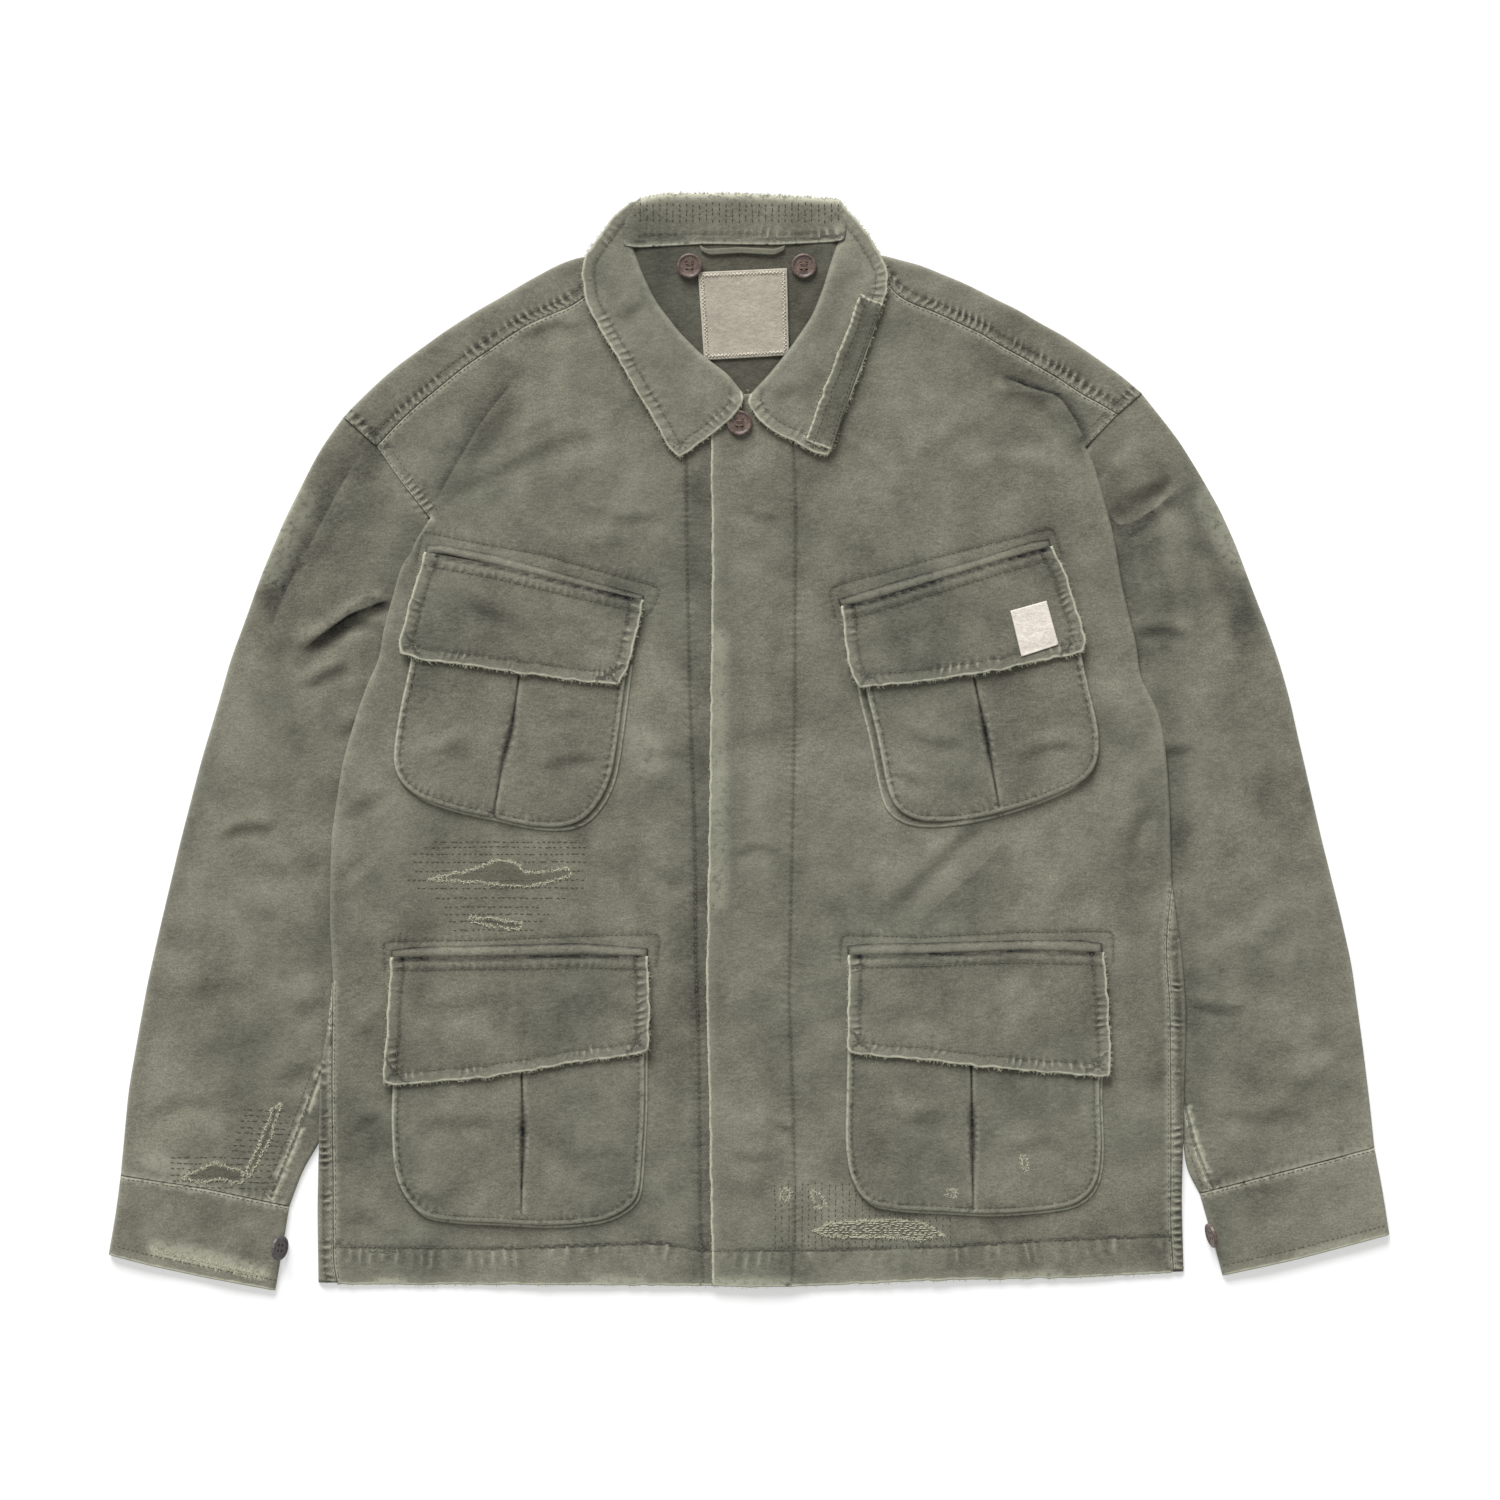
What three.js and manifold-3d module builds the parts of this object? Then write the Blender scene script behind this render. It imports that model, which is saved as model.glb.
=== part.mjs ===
// Field jacket lying flat on its back, front side up. Millimetres, +Z up, +Y towards the collar.
// The wearer's right side lies at -X. The origin is on the floor, in the middle of the jacket.
import * as THREE from 'three';
import { mergeVertices } from 'three/addons/utils/BufferGeometryUtils.js';
import Module from 'manifold-3d';

const wasm = await Module();
wasm.setup();

// Driving dimensions
const CLOTH = 1.3; // body cloth with its seam allowances
const CUFF_CLOTH = 1.8; // two layers sewn together
const TAPE = 1.0; // labels and patches
const SEAM_GAP = 0.3; // between pieces that are sewn together
const LAYER_GAP = 0.8; // air between the back and the front
const BUTTON_WIDTH = 18;
const BUTTON_THICKNESS = 3;
const PLACKET_EDGE = -27; // free edge of the fly, on top
const PLACKET_STITCH = 31; // the fly's second layer ends here
const UNDER_EDGE = 12; // edge of the front that lies under the fly
const BELLOWS = 2.4; // how far a pocket stands off the front

// Heights of the middle of each layer
const HALF = CLOTH / 2;
const FOLD_RADIUS = (CLOTH + LAYER_GAP) / 2;
const FRONT_LEVEL = HALF + 2 * FOLD_RADIUS;
const SLEEVE_TOP = FRONT_LEVEL + HALF;
const OVER_SLEEVE = SLEEVE_TOP + 0.4;
const QUARTER = Math.PI * FOLD_RADIUS / 2; // a quarter of a fold's arc

// A table is a list of rows with named columns
function table(columns, rows) {
  return rows.map((row) => Object.fromEntries(columns.map((column, i) => [column, row[i]])));
}

// The body's edges from the hem up: where each side edge is, how far in from it the seam shows on
// the front, and how far the sleeve is tucked under it. The last rows run up the armholes.
const BODY = table(
  ['leftX', 'leftY', 'leftSeam', 'leftTuck', 'rightX', 'rightY', 'rightSeam', 'rightTuck'],
  [
    [-302, -379, 13, 0, 304, -371, 7, 0],
    [-303, -345, 11, 0, 304, -345, 8, 0],
    [-303, -310, 10.5, 0, 303, -310, 9, 0],
    [-302, -275, 10.5, 1, 304, -275, 10, 1],
    [-301, -240, 9, 8, 304, -240, 11, 7],
    [-297, -205, 5, 15, 305, -205, 11, 16],
    [-292, -170, 0, 24, 305, -170, 11, 22],
    [-294, -135, 0, 32, 302, -135, 9, 30],
    [-294, -100, 0, 40, 297, -100, 3, 36],
    [-292, -62, 0, 47, 295, -62, 0, 44],
    [-287, -24, 0, 54, 293, -24, 0, 52],
    [-275, 14, 0, 56, 289, 14, 0, 55],
    [-262, 52, 0, 54, 273, 52, 0, 54],
    [-253, 90, 0, 50, 266, 90, 0, 48],
    [-241, 128, 0, 32, 257, 128, 0, 42],
    [-224, 156, 0, 1, 251, 158, 0, 32],
    [-233, 167, 0, 0, 243, 190, 0, 14],
    [-243, 180, 0, 0, 235.5, 206, 0, 1],
    [-253, 195, 0, 0, 247, 217, 0, 0],
    [-262, 208, 0, 0, 256.6, 229, 0, 0],
  ],
);
const YOKE_ROW = 15; // rows above this one bend up to the shoulders
const LEFT_FOLD_END = 15; // last row where the left side is a fold
const RIGHT_FOLD_END = 17;

// Each shoulder from the neck to the armhole: its fold, and the seam in front of it
const SHOULDER = {
  left: table(['foldX', 'foldY', 'seamX', 'seamY'], [
    [-94, 340, -98, 324],
    [-116, 340, -116, 312],
    [-133, 335, -130, 302],
    [-147, 327, -147, 296],
    [-174, 311, -174, 280],
    [-203, 294, -203, 261],
    [-231, 275, -231, 238],
    [-259, 253, -250, 220],
    [-285, 228, -262, 208],
  ]),
  right: table(['foldX', 'foldY', 'seamX', 'seamY'], [
    [77, 341, 79, 326],
    [91, 342, 95, 318],
    [105, 337, 107, 309],
    [133, 328, 133, 300],
    [162, 315, 162, 287],
    [189, 302, 189, 271],
    [217, 286, 217, 254],
    [245, 267, 243, 238],
    [275, 244, 256.6, 229],
  ]),
};

// The collar from the right front of the wearer round the neck to the left front. Each station runs
// from the neck seam over the roll to the fall's edge. rollRadius is below zero where the fall
// lies under the stand, and seamLayer is 1 on the fronts and 0 on the back.
const COLLAR = table(
  ['neckX', 'neckY', 'seamLayer', 'rollX', 'rollY', 'rollZ', 'rollRadius',
    'midX', 'midY', 'midZ', 'edgeX', 'edgeY', 'edgeZ'],
  [
    [-8, 243, 1, -6, 248, 6.2, 1.5, -15, 229.5, 7.0, -49, 199, 4.4],
    [-22, 244, 1, -15, 258, 6.2, 1.5, -34, 233, 6.6, -57, 207, 4.4],
    [-44, 259, 1, -33, 271, 6.2, 1.5, -52, 250, 6.6, -70, 229, 4.6],
    [-62, 276, 1, -49, 286, 6.3, 1.5, -68, 271, 6.8, -86, 256, 4.9],
    [-80, 298, 1, -66, 308, 6.4, 1.5, -85, 298, 7.0, -104, 287, 5.0],
    [-92, 316, 1, -76, 329, 6.4, 1.5, -96, 319, 7.0, -115, 309, 4.9],
    [-97, 329, 1, -82, 347, 6.0, 1.4, -100, 337, 6.6, -117, 327, 4.8],
    [-92, 338, 0.5, -84, 358, 5.0, 0.8, -101, 350, 5.2, -115, 341, 4.7],
    [-84, 342, 0, -83, 367, 4.2, 0, -100, 362, 3.0, -96, 352, 0.65],
    [-80, 345, 0, -79, 376, 2.7, -0.5, -88, 371, 1.6, -83, 344, 0.65],
    [-70, 346, 0, -70, 382.5, 1.5, -0.85, -69, 358, 0.65, -67, 329, 0.65],
    [-40, 347.5, 0, -40, 384, 1.5, -0.85, -40, 358, 0.65, -40, 325, 0.65],
    [-7, 348, 0, -7, 384, 1.5, -0.85, -7, 357, 0.65, -7, 323, 0.65],
    [25, 348, 0, 25, 383, 1.5, -0.85, 25, 357, 0.65, 25, 325, 0.65],
    [52, 349, 0, 52, 381, 1.5, -0.85, 51, 358, 0.65, 50, 329, 0.65],
    [60, 348, 0, 62, 373, 2.7, -0.5, 72, 367, 1.6, 66, 346, 0.65],
    [65, 344, 0, 64, 362, 4.2, 0, 82, 357, 3.0, 76, 350, 0.65],
    [72, 338, 0.7, 62, 351, 5.0, 0.8, 78, 348, 5.2, 91, 342, 4.7],
    [75, 329, 1, 57, 336, 6.0, 1.4, 78, 331, 6.6, 97, 325, 4.8],
    [70, 313, 1, 51, 317, 6.4, 1.5, 72, 311, 7.0, 94, 306, 5.0],
    [58, 292, 1, 44, 298, 6.4, 1.5, 65, 289, 7.0, 86, 282, 5.2],
    [44, 271, 1, 28, 275, 6.3, 1.5, 51, 263, 6.8, 75, 251, 5.0],
    [27, 254, 1, 14, 257, 6.2, 1.5, 39, 241, 6.6, 65, 227, 4.6],
    [8, 243, 1, 1, 248, 6.6, 1.5, 13, 220, 7.2, 55, 200, 5.0],
  ],
);

// Each sleeve from the armhole down: its outer edge, and its inner edge where it is clear of the body
const SLEEVE_OUTER = {
  right: [
    [-285, 228], [-306, 196], [-324, 160], [-338, 127], [-351, 92], [-364, 57], [-374, 20],
    [-385, -17], [-394, -52], [-403, -88], [-412, -126], [-421, -165], [-428, -203],
    [-434, -241], [-438, -274], [-441, -303],
  ],
  left: [
    [275, 244], [294, 219], [313, 190], [330, 161], [343, 131], [355, 99], [367, 67], [377, 35],
    [385, 2], [393, -34], [402, -72], [411, -108], [419, -144], [425, -180], [430, -216],
    [435, -252], [438, -285],
  ],
};
const SLEEVE_INNER_END = {
  right: [[-307, -290], [-315, -306], [-322, -325]],
  left: [[309, -300], [315, -317]],
};
const CUFF = {
  right: { outerTop: [-441, -303], innerTop: [-322, -325], outerEnd: [-449, -359], innerEnd: [-332, -384] },
  left: { outerTop: [438, -285], innerTop: [315, -317], outerEnd: [448, -345], innerEnd: [331, -374] },
};

// The largest folds: ridges along a line, each with its width across and its height
const FOLD_COLUMNS = ['x1', 'y1', 'x2', 'y2', 'width', 'height'];
const SLEEVE_FOLDS = table(FOLD_COLUMNS, [
  [-292, 170, -345, 30, 24, -1.0],
  [-322, 180, -372, 40, 20, 0.8],
  [-252, 104, -322, 66, 14, 1.2],
  [-306, 50, -372, -120, 40, 0.9],
  [-345, -140, -400, -260, 40, 0.8],
  [262, 150, 300, 70, 26, 1.0],
  [300, 210, 345, 125, 20, 0.8],
  [349, 50, 330, -60, 24, -0.9],
  [320, -20, 345, -200, 40, 0.9],
]);
const FRONT_FOLDS = table(FOLD_COLUMNS, [
  [-216, 168, -166, 248, 16, 0.8],
  [172, 250, 204, 246, 9, 1.2],
  [204, 246, 228, 214, 9, 1.2],
  [-265, -200, -262, -270, 16, 0.8],
  [175, -45, 100, -128, 22, 0.7],
]);

// The pockets. Body rows run down from under the flap, with the pleat's place. Flap rows run down
// from the welt, sag is how far the middle of its free edge hangs lower.
const POCKET_COLUMNS = ['leftX', 'leftY', 'rightX', 'rightY', 'pleatX'];
const FLAP_COLUMNS = ['leftX', 'leftY', 'rightX', 'rightY'];
const POCKETS = [
  {
    name: 'chest_right',
    welt: [-227, 134.5, -74, 100],
    sag: 2,
    body: table(POCKET_COLUMNS, [
      [-229, 122, -80, 88, -158],
      [-237, 56, -87, 41, -161],
      [-244, 27, -90, 16, -164],
      [-249, -8, -94, -10, -169],
      [-248, -22, -98, -30, -174],
      [-240, -34, -103, -41, -176],
      [-224, -43, -114, -54, -178],
      [-203, -49, -128, -60, -179],
    ]),
    flap: table(FLAP_COLUMNS, [
      [-227, 129, -76, 93],
      [-236, 100, -78, 79],
      [-245, 71, -83, 58],
      [-244, 62, -91, 40],
    ]),
  },
  {
    name: 'chest_left',
    welt: [63, 97, 211, 139],
    sag: 3,
    body: table(POCKET_COLUMNS, [
      [64, 84, 222, 125, 150],
      [75, 37, 233, 60, 156],
      [82, 7, 243, 16, 163],
      [88, -20, 245, -5, 169],
      [92, -36, 242, -19, 172],
      [100, -51, 234, -28, 174],
      [112, -60, 217, -36, 175],
      [126, -62, 197, -44, 175],
    ]),
    flap: table(FLAP_COLUMNS, [
      [64, 90, 213, 132],
      [67, 67, 228, 96],
      [72, 43, 235, 72],
      [77, 37, 233, 62],
    ]),
  },
  {
    name: 'lower_right',
    welt: [-251, -149, -71, -148],
    sag: 3,
    body: table(POCKET_COLUMNS, [
      [-249, -160, -74, -160, -160],
      [-250, -241, -73, -221, -160],
      [-251, -266, -73, -257, -159],
      [-250, -297, -75, -292, -159],
      [-246, -313, -77, -315, -159],
      [-236, -327, -86, -328, -160],
      [-221, -334, -100, -335, -160],
      [-203, -336, -120, -338, -160],
    ]),
    flap: table(FLAP_COLUMNS, [
      [-251, -153.5, -70, -153],
      [-253, -185, -70, -172],
      [-256, -225, -70, -205],
      [-255, -239, -73, -217],
    ]),
  },
  {
    name: 'lower_left',
    welt: [68, -147, 247, -145],
    sag: 1.5,
    body: table(POCKET_COLUMNS, [
      [71, -160, 246, -159, 155],
      [68, -219, 245, -235, 155],
      [67, -252, 245, -256, 156],
      [67, -279, 247, -281, 156],
      [69, -302, 245, -304, 156],
      [75, -317, 239, -317, 156],
      [88, -326, 225, -326, 156],
      [106, -328, 203, -329, 156],
    ]),
    flap: table(FLAP_COLUMNS, [
      [69, -152, 249, -151],
      [69, -181, 251, -179],
      [68, -208, 252, -208],
      [70, -218, 252, -234],
    ]),
  },
];

// Small pieces, each by its corners: two at its upper edge, then two at its lower edge
const NECK_LABEL = [[-36, 328], [26, 331], [-32, 268], [27, 271]];
const CHEST_LABEL = [[182, 91], [207, 98], [190, 60], [215, 67]];
const COLLAR_TAPE = [[77, 312], [91, 304], [41, 211], [54, 206]];
const HANGER_LOOP = [[-34, 346], [25, 346], [-30, 342], [21, 342]];
const COLLAR_BUTTON = [-7, 223];
const NECK_BUTTONS = { right: [-42, 333], left: [38, 333] };
// A cuff's button: how far down the cuff's folded edge, which way it faces and how it is tilted
const CUFF_BUTTONS = {
  right: { down: 0.5, facing: 1, tilt: 58 },
  left: { down: 0.5, facing: -1, tilt: 75 },
};

// Colours of the cloth and trimmings
const OLIVE = new THREE.MeshStandardMaterial({ color: 0x767667, roughness: 0.95, metalness: 0 });
const BROWN = new THREE.MeshStandardMaterial({ color: 0x5a463f, roughness: 0.45, metalness: 0 });
const BEIGE = new THREE.MeshStandardMaterial({ color: 0xb9b29e, roughness: 0.9, metalness: 0 });
const ECRU = new THREE.MeshStandardMaterial({ color: 0xe1d7cd, roughness: 0.85, metalness: 0 });

const jacket = new THREE.Group();

function add(name, geometry, material) {
  const mesh = new THREE.Mesh(geometry, material);
  mesh.name = name;
  jacket.add(mesh);
  return mesh;
}

const { lerp, smoothstep } = THREE.MathUtils;
const fall = (value, low, high) => 1 - smoothstep(value, low, high);

// A value of the body table at any height between its first and last row
function bodyAt(y, side, column) {
  const yColumn = `${side}Y`;
  const above = BODY.findIndex((row) => row[yColumn] > y);
  const i = above < 0 ? BODY.length - 1 : Math.max(1, above);
  const low = BODY[i - 1];
  const high = BODY[i];
  const t = THREE.MathUtils.clamp((y - low[yColumn]) / (high[yColumn] - low[yColumn]), 0, 1);
  return lerp(low[side + column], high[side + column], t);
}

// How far the body is lifted at a place, over the tucked sleeves and over the collar's fall
const TUCK = {
  left: { inward: 1, top: BODY[LEFT_FOLD_END].leftY, endX: BODY[LEFT_FOLD_END].leftX },
  right: { inward: -1, top: BODY[RIGHT_FOLD_END].rightY, endX: BODY[RIGHT_FOLD_END].rightX },
};
const RAMP_START = 3;
const RAMP_END = 60;
const RAMP_FADE = 45; // above the tucked sleeves
const HEM_FADE = [-335, -280]; // below them
const COLLAR_LIFT = CLOTH + 0.6;
const COLLAR_RISE = [262, 304]; // where the body starts to rise over the collar, going up
const NECK_MIDDLE = -8.5;
const NECK_REACH = [78, 98];

function lift(x, y) {
  let height = 0;
  for (const side of ['left', 'right']) {
    const { inward, top, endX } = TUCK[side];
    const sleeveEdge = y > top ? endX : bodyAt(y, side, 'X') + inward * bodyAt(y, side, 'Tuck');
    const ramp = fall((x - sleeveEdge) * inward, RAMP_START, RAMP_END);
    const fade = fall(y, top, top + RAMP_FADE) * smoothstep(y, ...HEM_FADE);
    height = Math.max(height, OVER_SLEEVE * ramp * fade);
  }
  const neck = COLLAR_LIFT * smoothstep(y, ...COLLAR_RISE) * fall(Math.abs(x - NECK_MIDDLE), ...NECK_REACH);
  return Math.max(height, neck);
}

// Height that a table of folds adds at a place
function foldHeight(folds, x, y) {
  let height = 0;
  for (const fold of folds) {
    const alongX = fold.x2 - fold.x1;
    const alongY = fold.y2 - fold.y1;
    const length = Math.hypot(alongX, alongY);
    const along = ((x - fold.x1) * alongX + (y - fold.y1) * alongY) / length / length;
    const across = ((x - fold.x1) * alongY - (y - fold.y1) * alongX) / length;
    const ends = smoothstep(along, -0.15, 0.2) * fall(along, 0.8, 1.15);
    height += fold.height * ends * Math.exp(-((across / fold.width) ** 2));
  }
  return height;
}

// Direction square to a grid of points at one of them
function normalAt(rows, i, j, ring) {
  const last = rows[0].length - 1;
  const before = ring ? (j + last) % (last + 1) : Math.max(j - 1, 0);
  const after = ring ? (j + 1) % (last + 1) : Math.min(j + 1, last);
  const up = rows[Math.min(i + 1, rows.length - 1)][j].clone().sub(rows[Math.max(i - 1, 0)][j]);
  const across = rows[i][after].clone().sub(rows[i][before]);
  return across.cross(up).normalize();
}

// A closed wall of even thickness around rows of points. A ring's last column joins its first.
function wall(rows, thickness, ring = false) {
  const height = rows.length;
  const width = rows[0].length;
  const points = [];
  for (const offset of [thickness / 2, -thickness / 2]) {
    for (let i = 0; i < height; i += 1) {
      for (let j = 0; j < width; j += 1) {
        points.push(rows[i][j].clone().addScaledVector(normalAt(rows, i, j, ring), offset));
      }
    }
  }
  const inner = height * width;
  const triangles = [];
  const quad = (a, b, c, d) => triangles.push(a, b, c, a, c, d);
  const columns = ring ? width : width - 1;
  for (let i = 0; i < height - 1; i += 1) {
    for (let j = 0; j < columns; j += 1) {
      const a = i * width + j;
      const b = i * width + (j + 1) % width;
      quad(a, b, b + width, a + width);
      quad(inner + a, inner + a + width, inner + b + width, inner + b);
    }
    if (!ring) {
      const first = i * width;
      const last = first + width - 1;
      quad(first, first + width, inner + first + width, inner + first);
      quad(last, inner + last, inner + last + width, last + width);
    }
  }
  for (let j = 0; j < columns; j += 1) {
    const next = (j + 1) % width;
    const top = (height - 1) * width;
    quad(j, inner + j, inner + next, next);
    quad(top + j, top + next, inner + top + next, inner + top + j);
  }
  return closedBody(points, triangles);
}

// A geometry from points and triangles, with its faces turned to point out
function closedBody(points, triangles) {
  let volume = 0;
  for (let k = 0; k < triangles.length; k += 3) {
    const [a, b, c] = [0, 1, 2].map((n) => points[triangles[k + n]]);
    volume += a.dot(b.clone().cross(c));
  }
  const geometry = new THREE.BufferGeometry().setFromPoints(points);
  geometry.setIndex(volume > 0 ? triangles : triangles.slice().reverse());
  geometry.computeVertexNormals();
  return geometry;
}

function toManifold(geometry) {
  const bare = geometry.clone();
  bare.deleteAttribute('normal');
  bare.deleteAttribute('uv');
  const merged = mergeVertices(bare, 1e-3);
  return new wasm.Manifold(new wasm.Mesh({
    numProp: 3,
    vertProperties: Float32Array.from(merged.attributes.position.array),
    triVerts: Uint32Array.from(merged.index.array),
  }));
}

function fromManifold(solid) {
  const mesh = solid.getMesh();
  const geometry = new THREE.BufferGeometry();
  geometry.setAttribute('position', new THREE.BufferAttribute(mesh.vertProperties, 3));
  geometry.setIndex(new THREE.BufferAttribute(mesh.triVerts, 1));
  geometry.computeVertexNormals();
  return geometry;
}

// The highest surface of some meshes above a place, and the highest within reach of it
function heightAt(meshes, x, y) {
  let height = -Infinity;
  for (const mesh of meshes) {
    const position = mesh.geometry.attributes.position;
    const index = mesh.geometry.index;
    for (let k = 0; k < index.count; k += 3) {
      const [a, b, c] = [0, 1, 2].map((n) => index.getX(k + n));
      const [ax, ay] = [position.getX(a) - x, position.getY(a) - y];
      const [bx, by] = [position.getX(b) - x, position.getY(b) - y];
      const [cx, cy] = [position.getX(c) - x, position.getY(c) - y];
      const [wa, wb, wc] = [bx * cy - by * cx, cx * ay - cy * ax, ax * by - ay * bx];
      const area = wa + wb + wc;
      if (area > 0 && Math.min(wa, wb, wc) >= 0) {
        const z = (wa * position.getZ(a) + wb * position.getZ(b) + wc * position.getZ(c)) / area;
        height = Math.max(height, z);
      }
    }
  }
  return height;
}

function heightNear(meshes, x, y, reach) {
  const heights = [heightAt(meshes, x, y)];
  for (let k = 0; k < 8; k += 1) {
    const angle = k * Math.PI / 4;
    heights.push(heightAt(meshes, x + reach * Math.cos(angle), y + reach * Math.sin(angle)));
  }
  return Math.max(...heights);
}

// A point part of the way along a line through points, by its length
function alongLine(points, t) {
  const lengths = points.slice(1).map((point, i) => point.distanceTo(points[i]));
  let rest = t * lengths.reduce((sum, length) => sum + length, 0);
  let i = 0;
  while (i < lengths.length - 1 && rest > lengths[i]) {
    rest -= lengths[i];
    i += 1;
  }
  return points[i].clone().lerp(points[i + 1], rest / lengths[i]);
}

const flat = (x, y) => new THREE.Vector2(x, y);

// The share of a line's length at which each of its points lies
function shares(points) {
  const lengths = points.map((point, i) => (i ? point.distanceTo(points[i - 1]) : 0));
  const total = lengths.reduce((sum, length) => sum + length, 0);
  let sum = 0;
  return lengths.map((length) => {
    sum += length;
    return sum / total;
  });
}

// A panel's rows in plan. edges gives the left and right end of each row, and the last row follows
// the line top.
function panelPlan(edges, top) {
  const rowCount = edges.length;
  const yoke = edges[YOKE_ROW];
  const topPoint = (u) => alongLine(top, THREE.MathUtils.clamp(u, 0, 1));
  return (row, u) => {
    const [left, right] = edges[row];
    if (row <= YOKE_ROW) {
      return left.clone().lerp(right, u);
    }
    const w = (row - YOKE_ROW) / (rowCount - 1 - YOKE_ROW);
    const between = yoke[0].clone().lerp(yoke[1], u).lerp(topPoint(u), w);
    const ends = left.clone().lerp(right, u);
    const corners = yoke[0].clone().lerp(topPoint(0), w).lerp(yoke[1].clone().lerp(topPoint(1), w), u);
    return between.add(ends).sub(corners);
  };
}

// A point of the folded edge of the body. along is its place on the way round the fold: above zero
// on the front, below zero on the back. It gives how far in from the edge it is, and how high.
function foldPoint(along) {
  if (Math.abs(along) > QUARTER) {
    return { inset: HALF + FOLD_RADIUS + Math.abs(along) - QUARTER, height: Math.sign(along) * FOLD_RADIUS };
  }
  const angle = along / FOLD_RADIUS;
  return { inset: HALF + FOLD_RADIUS * (1 - Math.cos(angle)), height: FOLD_RADIUS * Math.sin(angle) };
}

const insetToAlong = (inset) => QUARTER + inset - HALF - FOLD_RADIUS;
const FINE = 0.3; // smallest step between points on a fold
const SIDE_SPREAD = [60, 40, 20, 5]; // columns beside a tucked sleeve
const OPEN_EDGE = 0.6; // how far in from the armhole a panel ends
const EDGE_GAP = 0.9; // between the panels where their seam lies on a fold

// Where a side's columns lie in one row: insets from its edge with the height over the back's level
function sideColumns(rowIndex, side, layer) {
  const row = BODY[Math.min(rowIndex, BODY.length - 1)];
  const foldEnd = side === 'left' ? LEFT_FOLD_END : RIGHT_FOLD_END;
  const seam = row[`${side}Seam`];
  const inner = Math.max(row[`${side}Tuck`], seam + 2);
  const level = layer === 'front' ? 2 * FOLD_RADIUS : 0;
  const spread = SIDE_SPREAD.map((step) => ({ inset: inner + step, height: level }));
  const seamAlong = seam > HALF + FOLD_RADIUS ? insetToAlong(seam) : 0;
  let around = [];
  if (rowIndex > foldEnd) {
    const steps = layer === 'front' ? [3, 2, 1] : [6, 5, 4, 3, 2, 1];
    around = steps.map((step) => ({ inset: OPEN_EDGE + step * FINE, height: level }));
  } else if (layer === 'front') {
    const end = seamAlong + EDGE_GAP / 2;
    around = [QUARTER, QUARTER / 2, 0].map((along, i) => foldPoint(Math.max(along, end + (2 - i) * FINE)));
  } else {
    const start = seamAlong - EDGE_GAP / 2;
    const stops = [-QUARTER, -QUARTER / 2, 0, QUARTER / 2, QUARTER, start];
    around = stops.map((along, i) => foldPoint(Math.min(along, start - (5 - i) * FINE)));
  }
  if (rowIndex <= foldEnd) {
    around = around.map(({ inset, height }) => ({ inset, height: height + FOLD_RADIUS }));
  }
  return spread.concat(around);
}

// Places that divide a span into equal steps, without its ends
function evenly(start, end, count) {
  return Array.from({ length: count }, (_, k) => lerp(start, end, (k + 1) / (count + 1)));
}

// Back panel, which reaches round both side folds and over both shoulders
const SIDE_POINTS = 3; // points of a shoulder that lie among the columns near the armhole
const INSET_SHOULDER = 6; // the back's sheet ends here inside the shoulder strips
const vectors = (pairs) => pairs.map(([x, y]) => flat(x, y));

function shoulderInset(row) {
  const fold = flat(row.foldX, row.foldY);
  const inward = flat(row.seamX, row.seamY).sub(fold).normalize();
  return fold.addScaledVector(inward, INSET_SHOULDER);
}

function backPanel() {
  const leftShoulder = SHOULDER.left.map(shoulderInset).reverse();
  const rightShoulder = SHOULDER.right.map(shoulderInset);
  const neck = COLLAR
    .filter((station) => station.seamLayer < 1)
    .map(({ neckX, neckY }) => flat(neckX, neckY));
  const top = [...leftShoulder, ...neck, ...rightShoulder];
  const edges = BODY.map((row) => [flat(row.leftX, row.leftY), flat(row.rightX, row.rightY)]);
  edges.push([leftShoulder[0], rightShoulder.at(-1)]);
  const plan = panelPlan(edges, top);
  const topShares = shares(top).slice(SIDE_POINTS, -SIDE_POINTS);
  const rows = edges.map(([left, right], i) => {
    const width = left.distanceTo(right);
    const place = (u, height) => {
      const { x, y } = plan(i, u);
      return new THREE.Vector3(x, y, HALF + lift(x, y) + height);
    };
    const leftSide = sideColumns(i, 'left', 'back').reverse();
    const rightSide = sideColumns(i, 'right', 'back');
    const between = evenly(leftSide.at(-1).inset / width, 1 - rightSide[0].inset / width, topShares.length);
    const bend = smoothstep(i, YOKE_ROW, edges.length - 1);
    const inside = topShares.map((share, k) => lerp(between[k], share, bend));
    return [
      ...leftSide.map(({ inset, height }) => place(inset / width, height)),
      ...inside.map((u) => place(u, 0)),
      ...rightSide.map(({ inset, height }) => place(1 - inset / width, height)),
    ];
  });
  let solid = toManifold(wall(rows, CLOTH));
  for (const side of ['left', 'right']) {
    solid = solid.add(toManifold(shoulderStrip(SHOULDER[side])));
  }
  return fromManifold(solid);
}

const STRIP_OVERLAP = 10; // how far a shoulder strip runs on under its fold

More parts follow.
